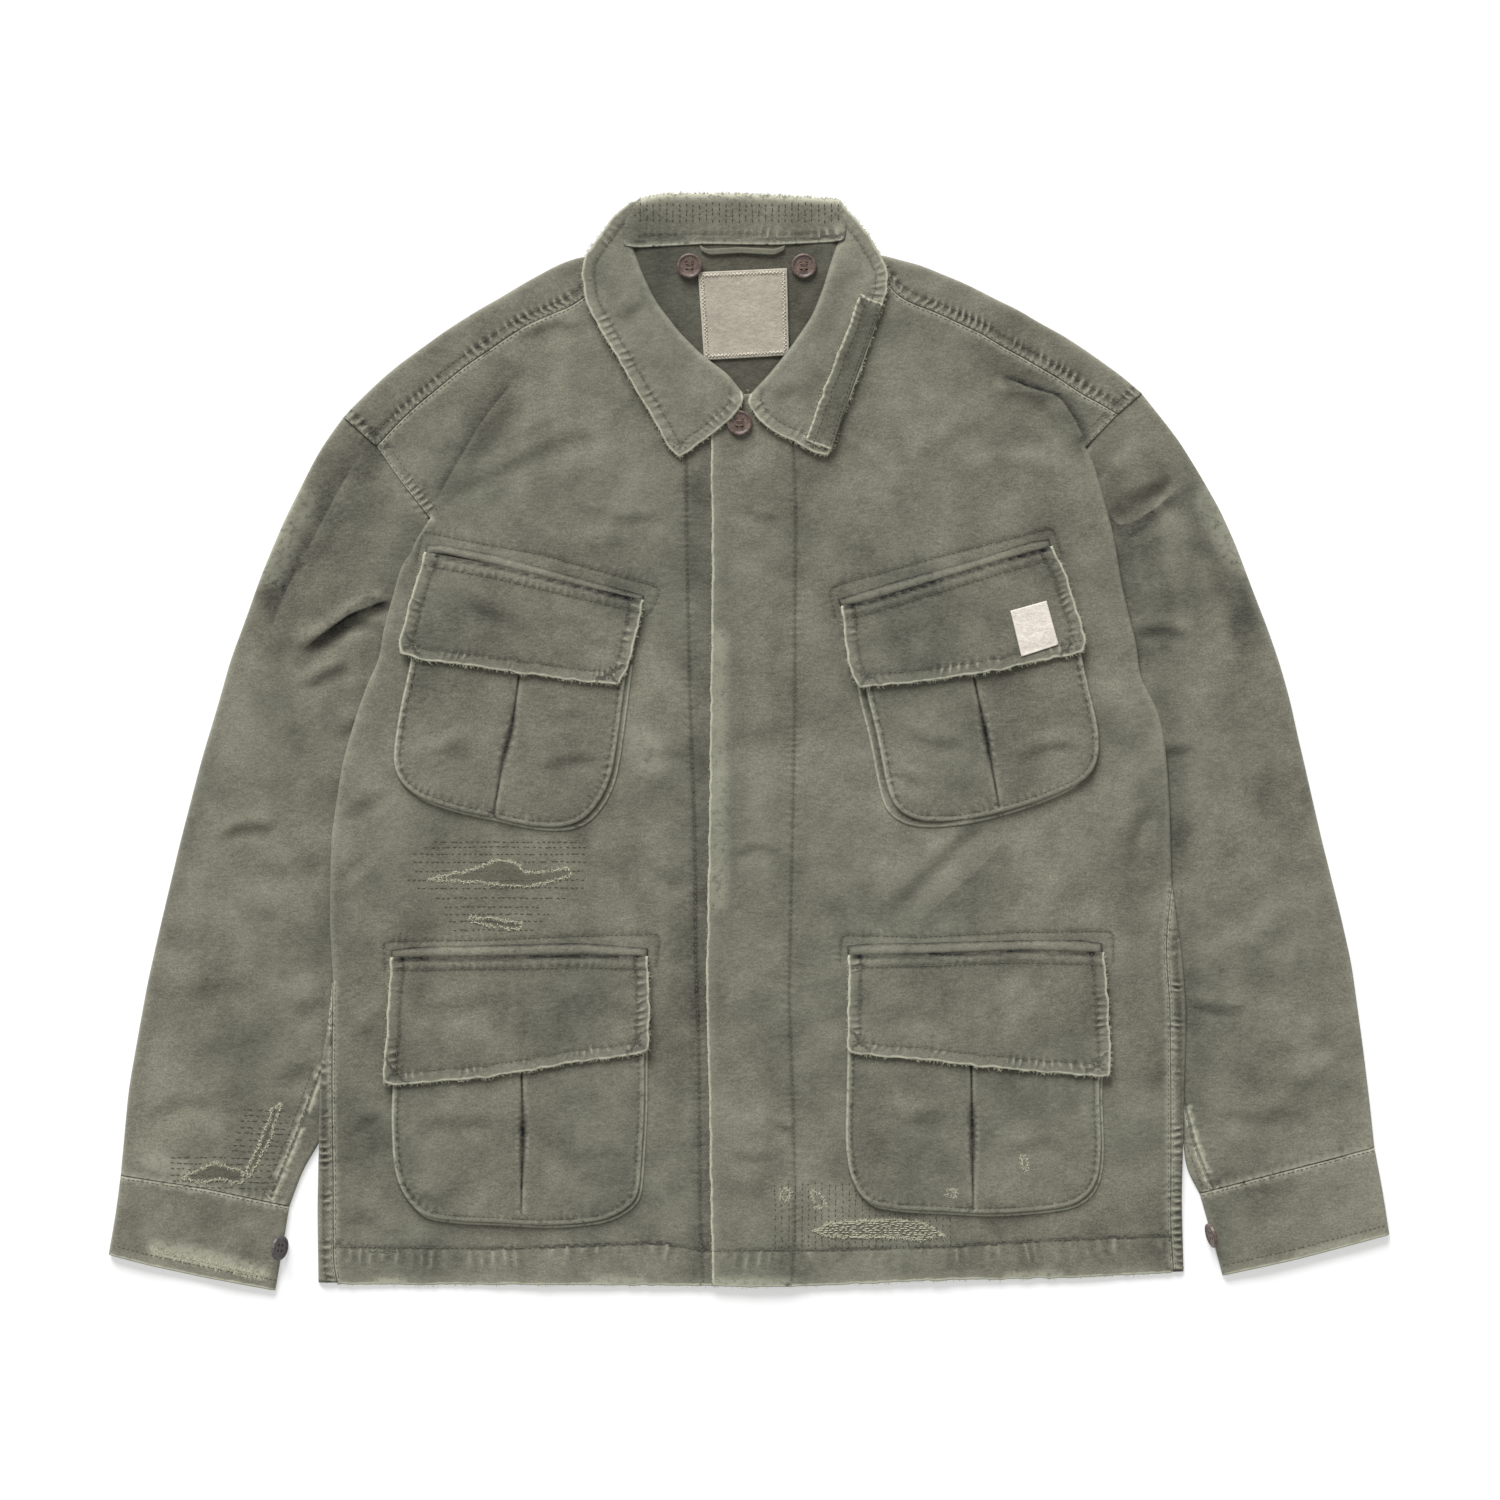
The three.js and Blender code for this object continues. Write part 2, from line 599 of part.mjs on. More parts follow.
// The part of the back that folds over a shoulder to the seam in front
function shoulderStrip(shoulder) {
  const underneath = -QUARTER - STRIP_OVERLAP;
  const rows = shoulder.map((row) => {
    const fold = flat(row.foldX, row.foldY);
    const inward = flat(row.seamX, row.seamY).sub(fold);
    const width = inward.length();
    inward.normalize();
    const end = insetToAlong(width - SEAM_GAP / 2);
    const stops = [underneath, -QUARTER, -QUARTER / 2, 0, QUARTER / 2, QUARTER, (QUARTER + end) / 2, end];
    return stops.map((along) => {
      const { inset, height } = foldPoint(along);
      const { x, y } = fold.clone().addScaledVector(inward, inset);
      return new THREE.Vector3(x, y, HALF + FOLD_RADIUS + lift(x, y) + height);
    });
  });
  return wall(rows, CLOTH);
}

const FLY_STEP = 10; // the fly comes down to the front over this width

// A front panel from its centre edge to the side. rise lifts the fly over the front under it.
function frontPanel(side, centreX, neckLine, rise) {
  const inward = side === 'left' ? 1 : -1;
  const seamLine = SHOULDER[side].map((row) => flat(row.seamX, row.seamY - SEAM_GAP)).reverse();
  const edges = BODY.map((row, i) => {
    const edge = flat(row[`${side}X`], row[`${side}Y`]);
    const across = (centreX - row.leftX) / (row.rightX - row.leftX);
    const lowerY = lerp(row.leftY, row.rightY, across);
    const neckY = neckLine[0].y;
    const yokeY = lerp(BODY[YOKE_ROW].leftY, BODY[YOKE_ROW].rightY, 0.5);
    const upperY = lerp(yokeY, neckY, (i - YOKE_ROW) / (BODY.length - 1 - YOKE_ROW));
    return [edge, flat(centreX, i <= YOKE_ROW ? lowerY : upperY)];
  });
  const top = [...seamLine, ...neckLine.slice().reverse()];
  const plan = panelPlan(edges, top);
  const topShares = shares(top).slice(SIDE_POINTS, -1);
  const rows = edges.map(([edge, centre], i) => {
    const width = edge.distanceTo(centre);
    const columns = sideColumns(i, side, 'front').reverse();
    const stitch = (Math.abs(PLACKET_STITCH - centreX)) / width;
    const fly = rise > 0 ? [1 - stitch - FLY_STEP / width, 1 - stitch, 1 - stitch / 2] : [];
    const reach = rise > 0 ? fly[0] : 1;
    const between = evenly(columns.at(-1).inset / width, reach, topShares.length - fly.length);
    const bend = smoothstep(i, YOKE_ROW, edges.length - 1);
    const inside = [...between, ...fly].map((u, k) => lerp(u, topShares[k], bend)).concat(1);
    const place = (u, height, isSide) => {
      const { x, y } = plan(i, u);
      const flyRise = rise * fall((x - PLACKET_STITCH) * -inward, 0, FLY_STEP);
      const folds = isSide ? 0 : Math.max(0, foldHeight(FRONT_FOLDS, x, y));
      return new THREE.Vector3(x, y, HALF + lift(x, y) + height + flyRise + folds);
    };
    return [
      ...columns.map(({ inset, height }) => place(inset / width, height, inset < 5)),
      ...inside.map((u) => place(u, 2 * FOLD_RADIUS, false)),
    ];
  });
  return wall(rows, CLOTH);
}

const neckStations = (side) => COLLAR
  .filter((station) => station.seamLayer === 1 && (side === 'left' ? station.rollX < 0 : station.rollX > 0))
  .map(({ neckX, neckY }) => flat(neckX, neckY));

// The right front of the wearer lies at -X, under the fly
const back = add('back_panel', backPanel(), OLIVE);
const rightNeck = [flat(UNDER_EDGE, 243), ...neckStations('left').slice(0, -1)];
const leftNeck = [flat(PLACKET_EDGE, 243), ...neckStations('right').reverse().slice(0, -1)];
const frontRight = add('front_panel_right', frontPanel('left', UNDER_EDGE, rightNeck, 0), OLIVE);
const frontLeft = add('front_panel_left', frontPanel('right', PLACKET_EDGE, leftNeck, CLOTH + 0.4), OLIVE);

// A sleeve swells between the body's edge, the cuff and the armhole
const SWELL = 1.2;
const SWELL_MOST = 2.6;
const SWELL_SIDE = [22, 48];
const SWELL_CUFF = [-320, -270];
const SWELL_ARMHOLE = [150, 215];

// A flattened tube between an outer and an inner edge, from rows of its two edges in plan
const TUBE_TOP = [0.2, 0.4, 0.6, 0.8];
const TUBE_UNDER = [0.67, 0.33];

function flatTube(rows, thickness, raise) {
  const half = thickness / 2;
  const radius = (thickness + LAYER_GAP) / 2;
  const rings = rows.map((across) => {
    const width = across(0).distanceTo(across(1));
    const point = (t, height, top) => {
      const { x, y } = across(t);
      return new THREE.Vector3(x, y, half + radius + height + (top ? raise(x, y) : 0));
    };
    const diagonal = radius * Math.SQRT1_2;
    const ends = [half, half + radius - diagonal, half + radius].map((inset) => inset / width);
    const heights = [0, diagonal, radius];
    return [
      ...ends.map((t, i) => point(t, heights[i], false)),
      ...TUBE_TOP.map((t) => point(t, radius, true)),
      ...ends.map((t, i) => point(1 - t, heights[i], false)).reverse(),
      ...ends.slice(1).map((t, i) => point(1 - t, -heights[i + 1], false)),
      ...TUBE_UNDER.map((t) => point(t, -radius, false)),
      ...ends.slice(1).map((t, i) => point(t, -heights[i + 1], false)).reverse(),
    ];
  });
  return wall(rings, thickness, true);
}

// A sleeve from the armhole to the cuff's seam. bodySide is the side of the plan it lies on.
const MOUTH_GAP = 1.2;
const MOUTH_DIRECTION = [0.75, 0.66]; // square to the armhole, towards the body

function sleeve(name, bodySide) {
  const { inward } = TUCK[bodySide];
  const foldEnd = bodySide === 'left' ? LEFT_FOLD_END : RIGHT_FOLD_END;
  const outer = vectors(SLEEVE_OUTER[name]);
  const tucked = BODY.slice(3, foldEnd).reverse()
    .map((row) => flat(row[`${bodySide}X`] + inward * row[`${bodySide}Tuck`], row[`${bodySide}Y`]));
  const inner = [...tucked, ...vectors(SLEEVE_INNER_END[name])];
  const armhole = BODY.slice(foldEnd).map((row) => flat(row[`${bodySide}X`], row[`${bodySide}Y`]));
  armhole.push(outer[0]);
  armhole.reverse();
  const away = flat(-MOUTH_DIRECTION[0] * inward, -MOUTH_DIRECTION[1]).multiplyScalar(MOUTH_GAP);
  const mouth = (t) => alongLine(armhole, t).add(away);
  const rows = inner.map((point, i) => (t) => outer[i + 1].clone().lerp(point, t));
  const raise = (x, y) => {
    const clear = smoothstep((bodyAt(y, bodySide, 'X') - x) * inward, ...SWELL_SIDE);
    const ends = smoothstep(y, ...SWELL_CUFF) * fall(y, ...SWELL_ARMHOLE);
    return clear * ends * THREE.MathUtils.clamp(SWELL + foldHeight(SLEEVE_FOLDS, x, y), 0, SWELL_MOST);
  };
  return flatTube([mouth, ...rows], CLOTH, raise);
}

function cuff({ outerTop, innerTop, outerEnd, innerEnd }) {
  const [outer1, inner1, outer2, inner2] = vectors([outerTop, innerTop, outerEnd, innerEnd]);
  const start = SEAM_GAP / outer1.distanceTo(outer2);
  const rows = [start, 0.5, 1].map((s) => {
    const outer = outer1.clone().lerp(outer2, s);
    const inner = inner1.clone().lerp(inner2, s);
    return (t) => outer.clone().lerp(inner, t);
  });
  return flatTube(rows, CUFF_CLOTH, () => 0);
}

add('sleeve_right', sleeve('right', 'left'), OLIVE);
add('sleeve_left', sleeve('left', 'right'), OLIVE);
add('cuff_right', cuff(CUFF.right), OLIVE);
add('cuff_left', cuff(CUFF.left), OLIVE);

// The collar in one piece: stand, roll and fall. Its seam stands this far off the neckline.
const COLLAR_SEAM_GAP = 1.5;

function collarGeometry() {
  const rows = COLLAR.map((station) => {
    const neck = new THREE.Vector3(station.neckX, station.neckY, 0);
    const roll = new THREE.Vector3(station.rollX, station.rollY, station.rollZ);
    const mid = new THREE.Vector3(station.midX, station.midY, station.midZ);
    const edge = new THREE.Vector3(station.edgeX, station.edgeY, station.edgeZ);
    const inward = roll.clone().sub(neck).setZ(0).normalize();
    const outward = mid.clone().sub(roll).setZ(0).normalize();
    const radius = station.rollRadius;
    const bend = Math.abs(radius) + HALF;
    const seam = neck.clone().addScaledVector(inward, COLLAR_SEAM_GAP);
    seam.z = HALF + lift(neck.x, neck.y) + station.seamLayer * 2 * FOLD_RADIUS;
    const before = roll.clone().addScaledVector(inward, -bend);
    before.z -= radius;
    const apex = roll.clone().addScaledVector(inward, -HALF);
    const after = roll.clone().addScaledVector(outward, bend);
    after.z += radius;
    const stand = seam.clone().lerp(before, 0.5);
    const shoulder = after.clone().lerp(mid, 0.5);
    const leaf = mid.clone().lerp(edge, 0.5);
    return [seam, stand, before, apex, after, shoulder, mid, leaf, edge];
  });
  return wall(rows, CLOTH);
}

const collar = add('collar', collarGeometry(), OLIVE);

// How far round a place each kind of piece looks for what it must clear
const PATCH_REACH = 2;
const POCKET_REACH = 5;
const FLAP_REACH = 8;
const FLAP_CLEARANCE = 0.2;

// A small flat piece that follows what it lies on, from its corners
function patch([upperLeft, upperRight, lowerLeft, lowerRight], under, thickness, across = 4, down = 4) {
  const rows = [];
  for (let i = 0; i <= down; i += 1) {
    const left = flat(...upperLeft).lerp(flat(...lowerLeft), i / down);
    const right = flat(...upperRight).lerp(flat(...lowerRight), i / down);
    const row = [];
    for (let j = 0; j <= across; j += 1) {
      const { x, y } = left.clone().lerp(right, j / across);
      row.push(new THREE.Vector3(x, y, heightNear(under, x, y, PATCH_REACH) + SEAM_GAP + thickness / 2));
    }
    rows.push(row);
  }
  return wall(rows, thickness);
}

// A pocket's body stands off the front like a shallow tray and has one pleat down its middle
const PLEAT_HALF = 2;
const PLEAT_DEPTH = 1.6;
const BODY_COLUMNS = [
  { share: 0, side: 0, stand: 0 },
  { share: 0.05, side: 0, stand: 1 },
  { share: 0.5, side: 0, stand: 1 },
  { share: 1, side: -PLEAT_HALF, stand: 1 },
  { share: 1, side: 0, stand: -1 },
  { share: 1, side: PLEAT_HALF, stand: 1 },
  { share: 1.5, side: 0, stand: 1 },
  { share: 1.95, side: 0, stand: 1 },
  { share: 2, side: 0, stand: 0 },
];

function pocketBody(rows, under) {
  const last = rows.length - 1;
  const grid = rows.map((row, i) => BODY_COLUMNS.map(({ share, side, stand }) => {
    const left = flat(row.leftX, row.leftY);
    const right = flat(row.rightX, row.rightY);
    const pleat = left.clone().lerp(right, (row.pleatX - row.leftX) / (row.rightX - row.leftX));
    const point = share <= 1 ? left.lerp(pleat, share) : pleat.lerp(right, share - 1);
    const x = point.x + side;
    const rowStand = i === 0 || i === last ? 0 : 1;
    let height = stand < 0 ? BELLOWS - PLEAT_DEPTH : stand * BELLOWS;
    height *= i === last - 1 ? 0.9 : rowStand;
    const base = heightNear(under, x, point.y, POCKET_REACH) + SEAM_GAP;
    return new THREE.Vector3(x, point.y, base + HALF + height);
  }));
  return wall(grid, CLOTH);
}

const FLAP_ACROSS = [0, 0.08, 0.25, 0.42, 0.58, 0.75, 0.92, 1];
const FLAP_DOWN = [0, 0.3, 0.65, 1, 1.5, 2, 3]; // places down the rows of a flap's table

function pocketFlap(rows, sag, under) {
  const grid = FLAP_DOWN.map((down) => FLAP_ACROSS.map((t) => {
    const upper = rows[Math.floor(down)];
    const lower = rows[Math.ceil(down)];
    const at = (column) => lerp(upper[column], lower[column], down % 1);
    const x = lerp(at('leftX'), at('rightX'), t);
    const hang = sag * (down / 3) ** 2 * 4 * t * (1 - t);
    const y = lerp(at('leftY'), at('rightY'), t) - hang;
    const base = heightNear(under, x, y, FLAP_REACH) + SEAM_GAP + FLAP_CLEARANCE;
    return new THREE.Vector3(x, y, base + HALF);
  }));
  return wall(grid, CLOTH);
}

// The rolled welt above a flap
const WELT_WIDTH = 6;
const WELT_CROWN = 0.8;

function welt([x1, y1, x2, y2], under) {
  const square = flat(y1 - y2, x2 - x1).normalize();
  const rows = [-1, 0, 1].map((side) => {
    const row = [];
    for (let k = 0; k <= 8; k += 1) {
      const x = lerp(x1, x2, k / 8) + square.x * side * WELT_WIDTH / 2;
      const y = lerp(y1, y2, k / 8) + square.y * side * WELT_WIDTH / 2;
      const crown = side === 0 ? WELT_CROWN : 0;
      const base = heightNear(under, x, y, PATCH_REACH) + SEAM_GAP;
      row.push(new THREE.Vector3(x, y, base + HALF + crown));
    }
    return row;
  });
  return wall(rows, CLOTH);
}

let labelledFlap = null;
for (const pocket of POCKETS) {
  const front = pocket.name.endsWith('right') ? frontRight : frontLeft;
  const body = add(`pocket_${pocket.name}`, pocketBody(pocket.body, [front]), OLIVE);
  const flap = add(`flap_${pocket.name}`, pocketFlap(pocket.flap, pocket.sag, [front, body]), OLIVE);
  add(`welt_${pocket.name}`, welt(pocket.welt, [front]), OLIVE);
  if (pocket.name === 'chest_left') {
    labelledFlap = flap;
  }
}

const neckLabel = add('neck_label', patch(NECK_LABEL, [back], TAPE), BEIGE);
add('hanger_loop', patch(HANGER_LOOP, [back], TAPE * 1.5, 8, 1), OLIVE);
add('chest_label', patch(CHEST_LABEL, [labelledFlap], TAPE), ECRU);
add('collar_tape', patch(COLLAR_TAPE, [collar], TAPE, 2, 8), OLIVE);

// A four-hole button: a dished disc with a raised rim, its back at height zero
const BUTTON_SIDES = 16;
const HOLE_RADIUS = 1.1;
const HOLE_PLACE = 2;

function buttonGeometry() {
  const radius = BUTTON_WIDTH / 2;
  const profile = [
    [0, 0], [radius - 1, 0], [radius, 0.9], [radius - 0.3, BUTTON_THICKNESS - 0.4],
    [radius - 1.3, BUTTON_THICKNESS], [radius - 2.8, BUTTON_THICKNESS - 0.9], [0, BUTTON_THICKNESS - 1.2],
  ];
  const lathe = new THREE.LatheGeometry(profile.map(([x, y]) => new THREE.Vector2(x, y)), BUTTON_SIDES);
  lathe.rotateX(Math.PI / 2);
  let disc = toManifold(lathe);
  for (const [x, y] of [[1, 1], [1, -1], [-1, 1], [-1, -1]]) {
    const hole = new THREE.CylinderGeometry(HOLE_RADIUS, HOLE_RADIUS, 4 * BUTTON_THICKNESS, 6);
    hole.rotateX(Math.PI / 2);
    hole.translate(x * HOLE_PLACE, y * HOLE_PLACE, 0);
    disc = disc.subtract(toManifold(hole));
  }
  return fromManifold(disc);
}

function addButton(name, [x, y], under) {
  const mesh = add(name, buttonGeometry(), BROWN);
  mesh.position.set(x, y, heightNear(under, x, y, BUTTON_WIDTH / 2) + SEAM_GAP);
}

addButton('collar_button', COLLAR_BUTTON, [frontLeft]);
addButton('neck_button_right', NECK_BUTTONS.right, [back, neckLabel]);
addButton('neck_button_left', NECK_BUTTONS.left, [back, neckLabel]);

// A cuff's button stands tilted against the cuff's folded edge, with its rim just off the floor
for (const [name, { down, facing, tilt }] of Object.entries(CUFF_BUTTONS)) {
  const [top, end] = vectors([CUFF[name].innerTop, CUFF[name].innerEnd]);
  const edge = top.clone().lerp(end, down);
  const yaw = Math.atan2(end.x - top.x, top.y - end.y);
  const outward = flat(Math.cos(yaw), Math.sin(yaw)).multiplyScalar(facing);
  const angle = THREE.MathUtils.degToRad(tilt);
  const edgeRadius = CUFF_CLOTH + LAYER_GAP / 2;
  const reach = edgeRadius + SEAM_GAP;
  const touchZ = edgeRadius + reach * Math.cos(angle);
  const rimHeight = BUTTON_WIDTH / 2 * Math.sin(angle) + 0.3;
  const slide = Math.max(0, (rimHeight - touchZ) / Math.sin(angle));
  const out = reach * Math.sin(angle) - edgeRadius - slide * Math.cos(angle);
  const { x, y } = edge.clone().addScaledVector(outward, out);
  const mesh = add(`cuff_button_${name}`, buttonGeometry(), BROWN);
  mesh.position.set(x, y, touchZ + slide * Math.sin(angle));
  mesh.rotation.set(0, facing * angle, yaw, 'ZYX');
}

export default jacket;
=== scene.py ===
"""Looks of a worn field jacket that lies flat on its back, front side up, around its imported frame.

Places are read off the photograph in its own pixels, and at() turns them into metres.
Widths, depths and thicknesses are in millimetres. Right and left are the wearer's.
"""
import math

import bpy
import numpy as np
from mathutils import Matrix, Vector
from mathutils.bvhtree import BVHTree
from mathutils.geometry import delaunay_2d_cdt
from mathutils.kdtree import KDTree


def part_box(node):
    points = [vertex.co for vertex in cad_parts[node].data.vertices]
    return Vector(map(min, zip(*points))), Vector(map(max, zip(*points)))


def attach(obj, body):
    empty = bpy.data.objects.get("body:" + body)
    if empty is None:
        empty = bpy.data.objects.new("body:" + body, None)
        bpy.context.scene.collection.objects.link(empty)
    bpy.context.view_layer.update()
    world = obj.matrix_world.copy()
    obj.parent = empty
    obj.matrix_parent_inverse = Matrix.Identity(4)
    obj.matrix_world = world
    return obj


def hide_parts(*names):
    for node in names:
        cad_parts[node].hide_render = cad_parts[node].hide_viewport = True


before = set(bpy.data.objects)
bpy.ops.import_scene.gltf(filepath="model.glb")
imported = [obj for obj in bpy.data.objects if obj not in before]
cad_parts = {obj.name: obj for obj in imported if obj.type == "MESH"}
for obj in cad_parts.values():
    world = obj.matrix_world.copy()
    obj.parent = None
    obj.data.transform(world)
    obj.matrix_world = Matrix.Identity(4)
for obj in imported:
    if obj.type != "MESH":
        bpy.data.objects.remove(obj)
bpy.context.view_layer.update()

# Driving dimensions
MM = 0.001
PHOTO_PIXEL = 0.7 * MM
PHOTO_CENTRE = (749.5, 741.5)
CLOTH = 1.3
CUFF_CLOTH = 1.8
TAPE = 1.0
EDGE_ROLL = 3.2  # radius of a folded edge
FRONT_PUCKER = 0.4  # how strongly the fronts pucker at their seams
HEM_PUCKER = 0.85
PLEAT_OPENING = 1.5  # how far a pocket's pleat gapes on each side
POCKET_SHADE = 0.18  # pockets are a little darker than the fronts
FLAP_SHADE = 0.34
BACK_SHADE = 0.65  # the inside of the back, seen through the neck
LEAF_SHADE = -0.3
MIN_CUT = 10.5  # least width given to a cut's rectangle
BUTTON_WIDTH = 18.0
BUTTON_THICKNESS = 3.0
STITCH = 2.4
STITCH_PITCH = 3.4
THREAD = 0.45
CAMERA_DISTANCE = 4.0
KEY_LIGHT = 3.9
KEY_SOFTNESS = 34  # degrees that the key light spans
SKY_LIGHT = 0.4
FLOOR_GLOW = 0.4
CREASE = 1.6  # how much deeper creases are cut than their tables say
FRONT_LOWEST = 2.3  # a crease in a front stays clear of the back
SLEEVE_LOWEST = 2.0  # a crease in a sleeve stays clear of its lower sheet
BAND_STEP = 1.5  # how far the collar's band rises over the back at the neck seam
BAND_PUCKER = 2.2  # felled bands pucker across their two rows of stitches
PHOTO_WIDTH = 1500 * PHOTO_PIXEL


# Lines in plan


def at(px, py):
    return ((px - PHOTO_CENTRE[0]) * PHOTO_PIXEL, (PHOTO_CENTRE[1] - py) * PHOTO_PIXEL)


def line(points):
    return np.array([at(*point) for point in points])


def lengths_along(points):
    steps = np.linalg.norm(np.diff(points, axis=0), axis=1)
    return np.concatenate([[0.0], np.cumsum(steps)])


def resample(points, step):
    """The same line with evenly spaced points."""
    along = lengths_along(points)
    count = max(2, int(round(along[-1] / step)) + 1)
    places = np.linspace(0, along[-1], count)
    return np.column_stack([np.interp(places, along, points[:, k]) for k in range(points.shape[1])])


def smooth_line(points, step, reach=7.0):
    """An evenly spaced line whose corners are rounded over about reach millimetres, with fixed ends."""
    fine = resample(points, step)
    passes = int(2 * (reach * MM / step) ** 2)
    for _ in range(passes):
        fine[1:-1] = 0.25 * fine[:-2] + 0.5 * fine[1:-1] + 0.25 * fine[2:]
    return resample(fine, step)


def path_of(points, reach=4):
    return smooth_line(line(points), 2.2 * MM, reach)


def near(points, path):
    """How far each point is from a line, and how far along the line its nearest place is."""
    dense = resample(path, 1.5 * MM)
    along = lengths_along(dense)
    tree = KDTree(len(dense))
    for i, (x, y) in enumerate(dense):
        tree.insert((x, y, 0), i)
    tree.balance()
    nearest = np.array([tree.find((x, y, 0))[1] for x, y in points], int)
    gap = np.full(len(points), np.inf)
    place = np.zeros(len(points))
    for first in (nearest - 1, nearest):
        first = np.clip(first, 0, len(dense) - 2)
        start = dense[first]
        step = dense[first + 1] - start
        size = np.maximum((step**2).sum(axis=1), 1e-12)
        t = np.clip(((points - start) * step).sum(axis=1) / size, 0, 1)
        distance = np.linalg.norm(points - start - t[:, None] * step, axis=1)
        closer = distance < gap
        gap[closer] = distance[closer]
        place[closer] = (along[first] + t * np.sqrt(size))[closer]
    return gap, place


def inside(points, ring):
    """Which points lie inside a closed ring."""
    result = np.zeros(len(points), bool)
    x, y = points[:, 0], points[:, 1]
    for (x1, y1), (x2, y2) in zip(ring, np.roll(ring, -1, axis=0)):
        if y1 == y2:
            continue
        crosses = (y1 > y) != (y2 > y)
        result ^= crosses & (x < (x2 - x1) * (y - y1) / (y2 - y1) + x1)
    return result


def offset_line(points, distance):
    """A line moved sideways to its left, in millimetres."""
    direction = np.gradient(points, axis=0)
    direction /= np.maximum(np.linalg.norm(direction, axis=1)[:, None], 1e-9)
    left = np.column_stack([-direction[:, 1], direction[:, 0]])
    return points + left * distance * MM


def keep_above(height, lowest):
    """Heights that level out softly above a lowest one, given in millimetres."""
    soft = 0.3 * MM
    return soft * np.logaddexp(height / soft, lowest * MM / soft)


def ease(value, low, high):
    t = np.clip((value - low) / (high - low), 0, 1)
    return t * t * (3 - 2 * t)


# Heights on a grid


GRID = 2.5 * MM
GRID_LOW = np.array([-0.47, -0.40])
GRID_COUNT = (378, 322)


def blur(values, radius):
    """Values on the grid, averaged softly over a radius in metres."""
    sigma = radius / GRID
    reach = int(3 * sigma) + 1
    kernel = np.exp(-0.5 * (np.arange(-reach, reach + 1) / sigma) ** 2)
    kernel /= kernel.sum()
    for axis in (0, 1):
        padded = np.pad(values, [(reach, reach) if k == axis else (0, 0) for k in (0, 1)], mode="edge")
        total = np.zeros_like(values)
        for k, weight in enumerate(kernel):
            window = [slice(None), slice(None)]
            window[axis] = slice(k, k + values.shape[axis])
            total += weight * padded[tuple(window)]
        values = total
    return values


def sample(values, points):
    """Values of the grid at points, blended between the four nearest."""
    place = (points - GRID_LOW) / GRID
    place = np.clip(place, 0, np.array(GRID_COUNT) - 1.001)
    i, j = place.astype(int).T
    u, v = (place - place.astype(int)).T
    low = values[i, j] * (1 - u) + values[i + 1, j] * u
    high = values[i, j + 1] * (1 - u) + values[i + 1, j + 1] * u
    return low * (1 - v) + high * v


def surface_of(node, soften=6.0, from_below=False):
    """The softened top or underside of a CAD node, which runs on level past the node's edges."""
    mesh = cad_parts[node].data
    tree = BVHTree.FromPolygons([v.co for v in mesh.vertices], [p.vertices for p in mesh.polygons])
    low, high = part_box(node)
    heights = np.zeros(GRID_COUNT)
    known = np.zeros(GRID_COUNT)
    first = np.maximum(((np.array(low[:2]) - GRID_LOW) / GRID).astype(int), 0)
    last = np.minimum(((np.array(high[:2]) - GRID_LOW) / GRID).astype(int) + 2, GRID_COUNT)
    start_z, direction = (-0.05, Vector((0, 0, 1))) if from_below else (0.05, Vector((0, 0, -1)))
    for i in range(first[0], last[0]):
        for j in range(first[1], last[1]):
            x, y = GRID_LOW + GRID * np.array([i, j])
            hit = tree.ray_cast(Vector((x, y, start_z)), direction)[0]
            if hit is not None:
                heights[i, j] = hit.z
                known[i, j] = 1.0
    inner = known * (blur(known, 2 * MM) > 0.97)
    if inner.sum() > 20:
        known = inner
    result = np.full(GRID_COUNT, np.nan)
    for radius in (soften * MM, 4 * soften * MM, 0.08):
        weight = blur(known, radius)
        missing = np.isnan(result) & (weight > 0.02)
        result[missing] = (blur(heights * known, radius) / np.maximum(weight, 1e-9))[missing]
    result[np.isnan(result)] = heights[known > 0].mean()
    return result


def ripple(seed, size, height):
    """Soft uneven waves about size millimetres across."""
    noise = np.random.default_rng(seed).normal(size=GRID_COUNT)
    waves = blur(noise, size / 2 * MM)
    return waves / waves.std() * height * MM


# Materials


def srgb(red, green, blue):
    linear = []
    for value in (red, green, blue):
        value /= 255
        linear.append(value / 12.92 if value <= 0.04045 else ((value + 0.055) / 1.055) ** 2.4)
    return (*linear, 1.0)


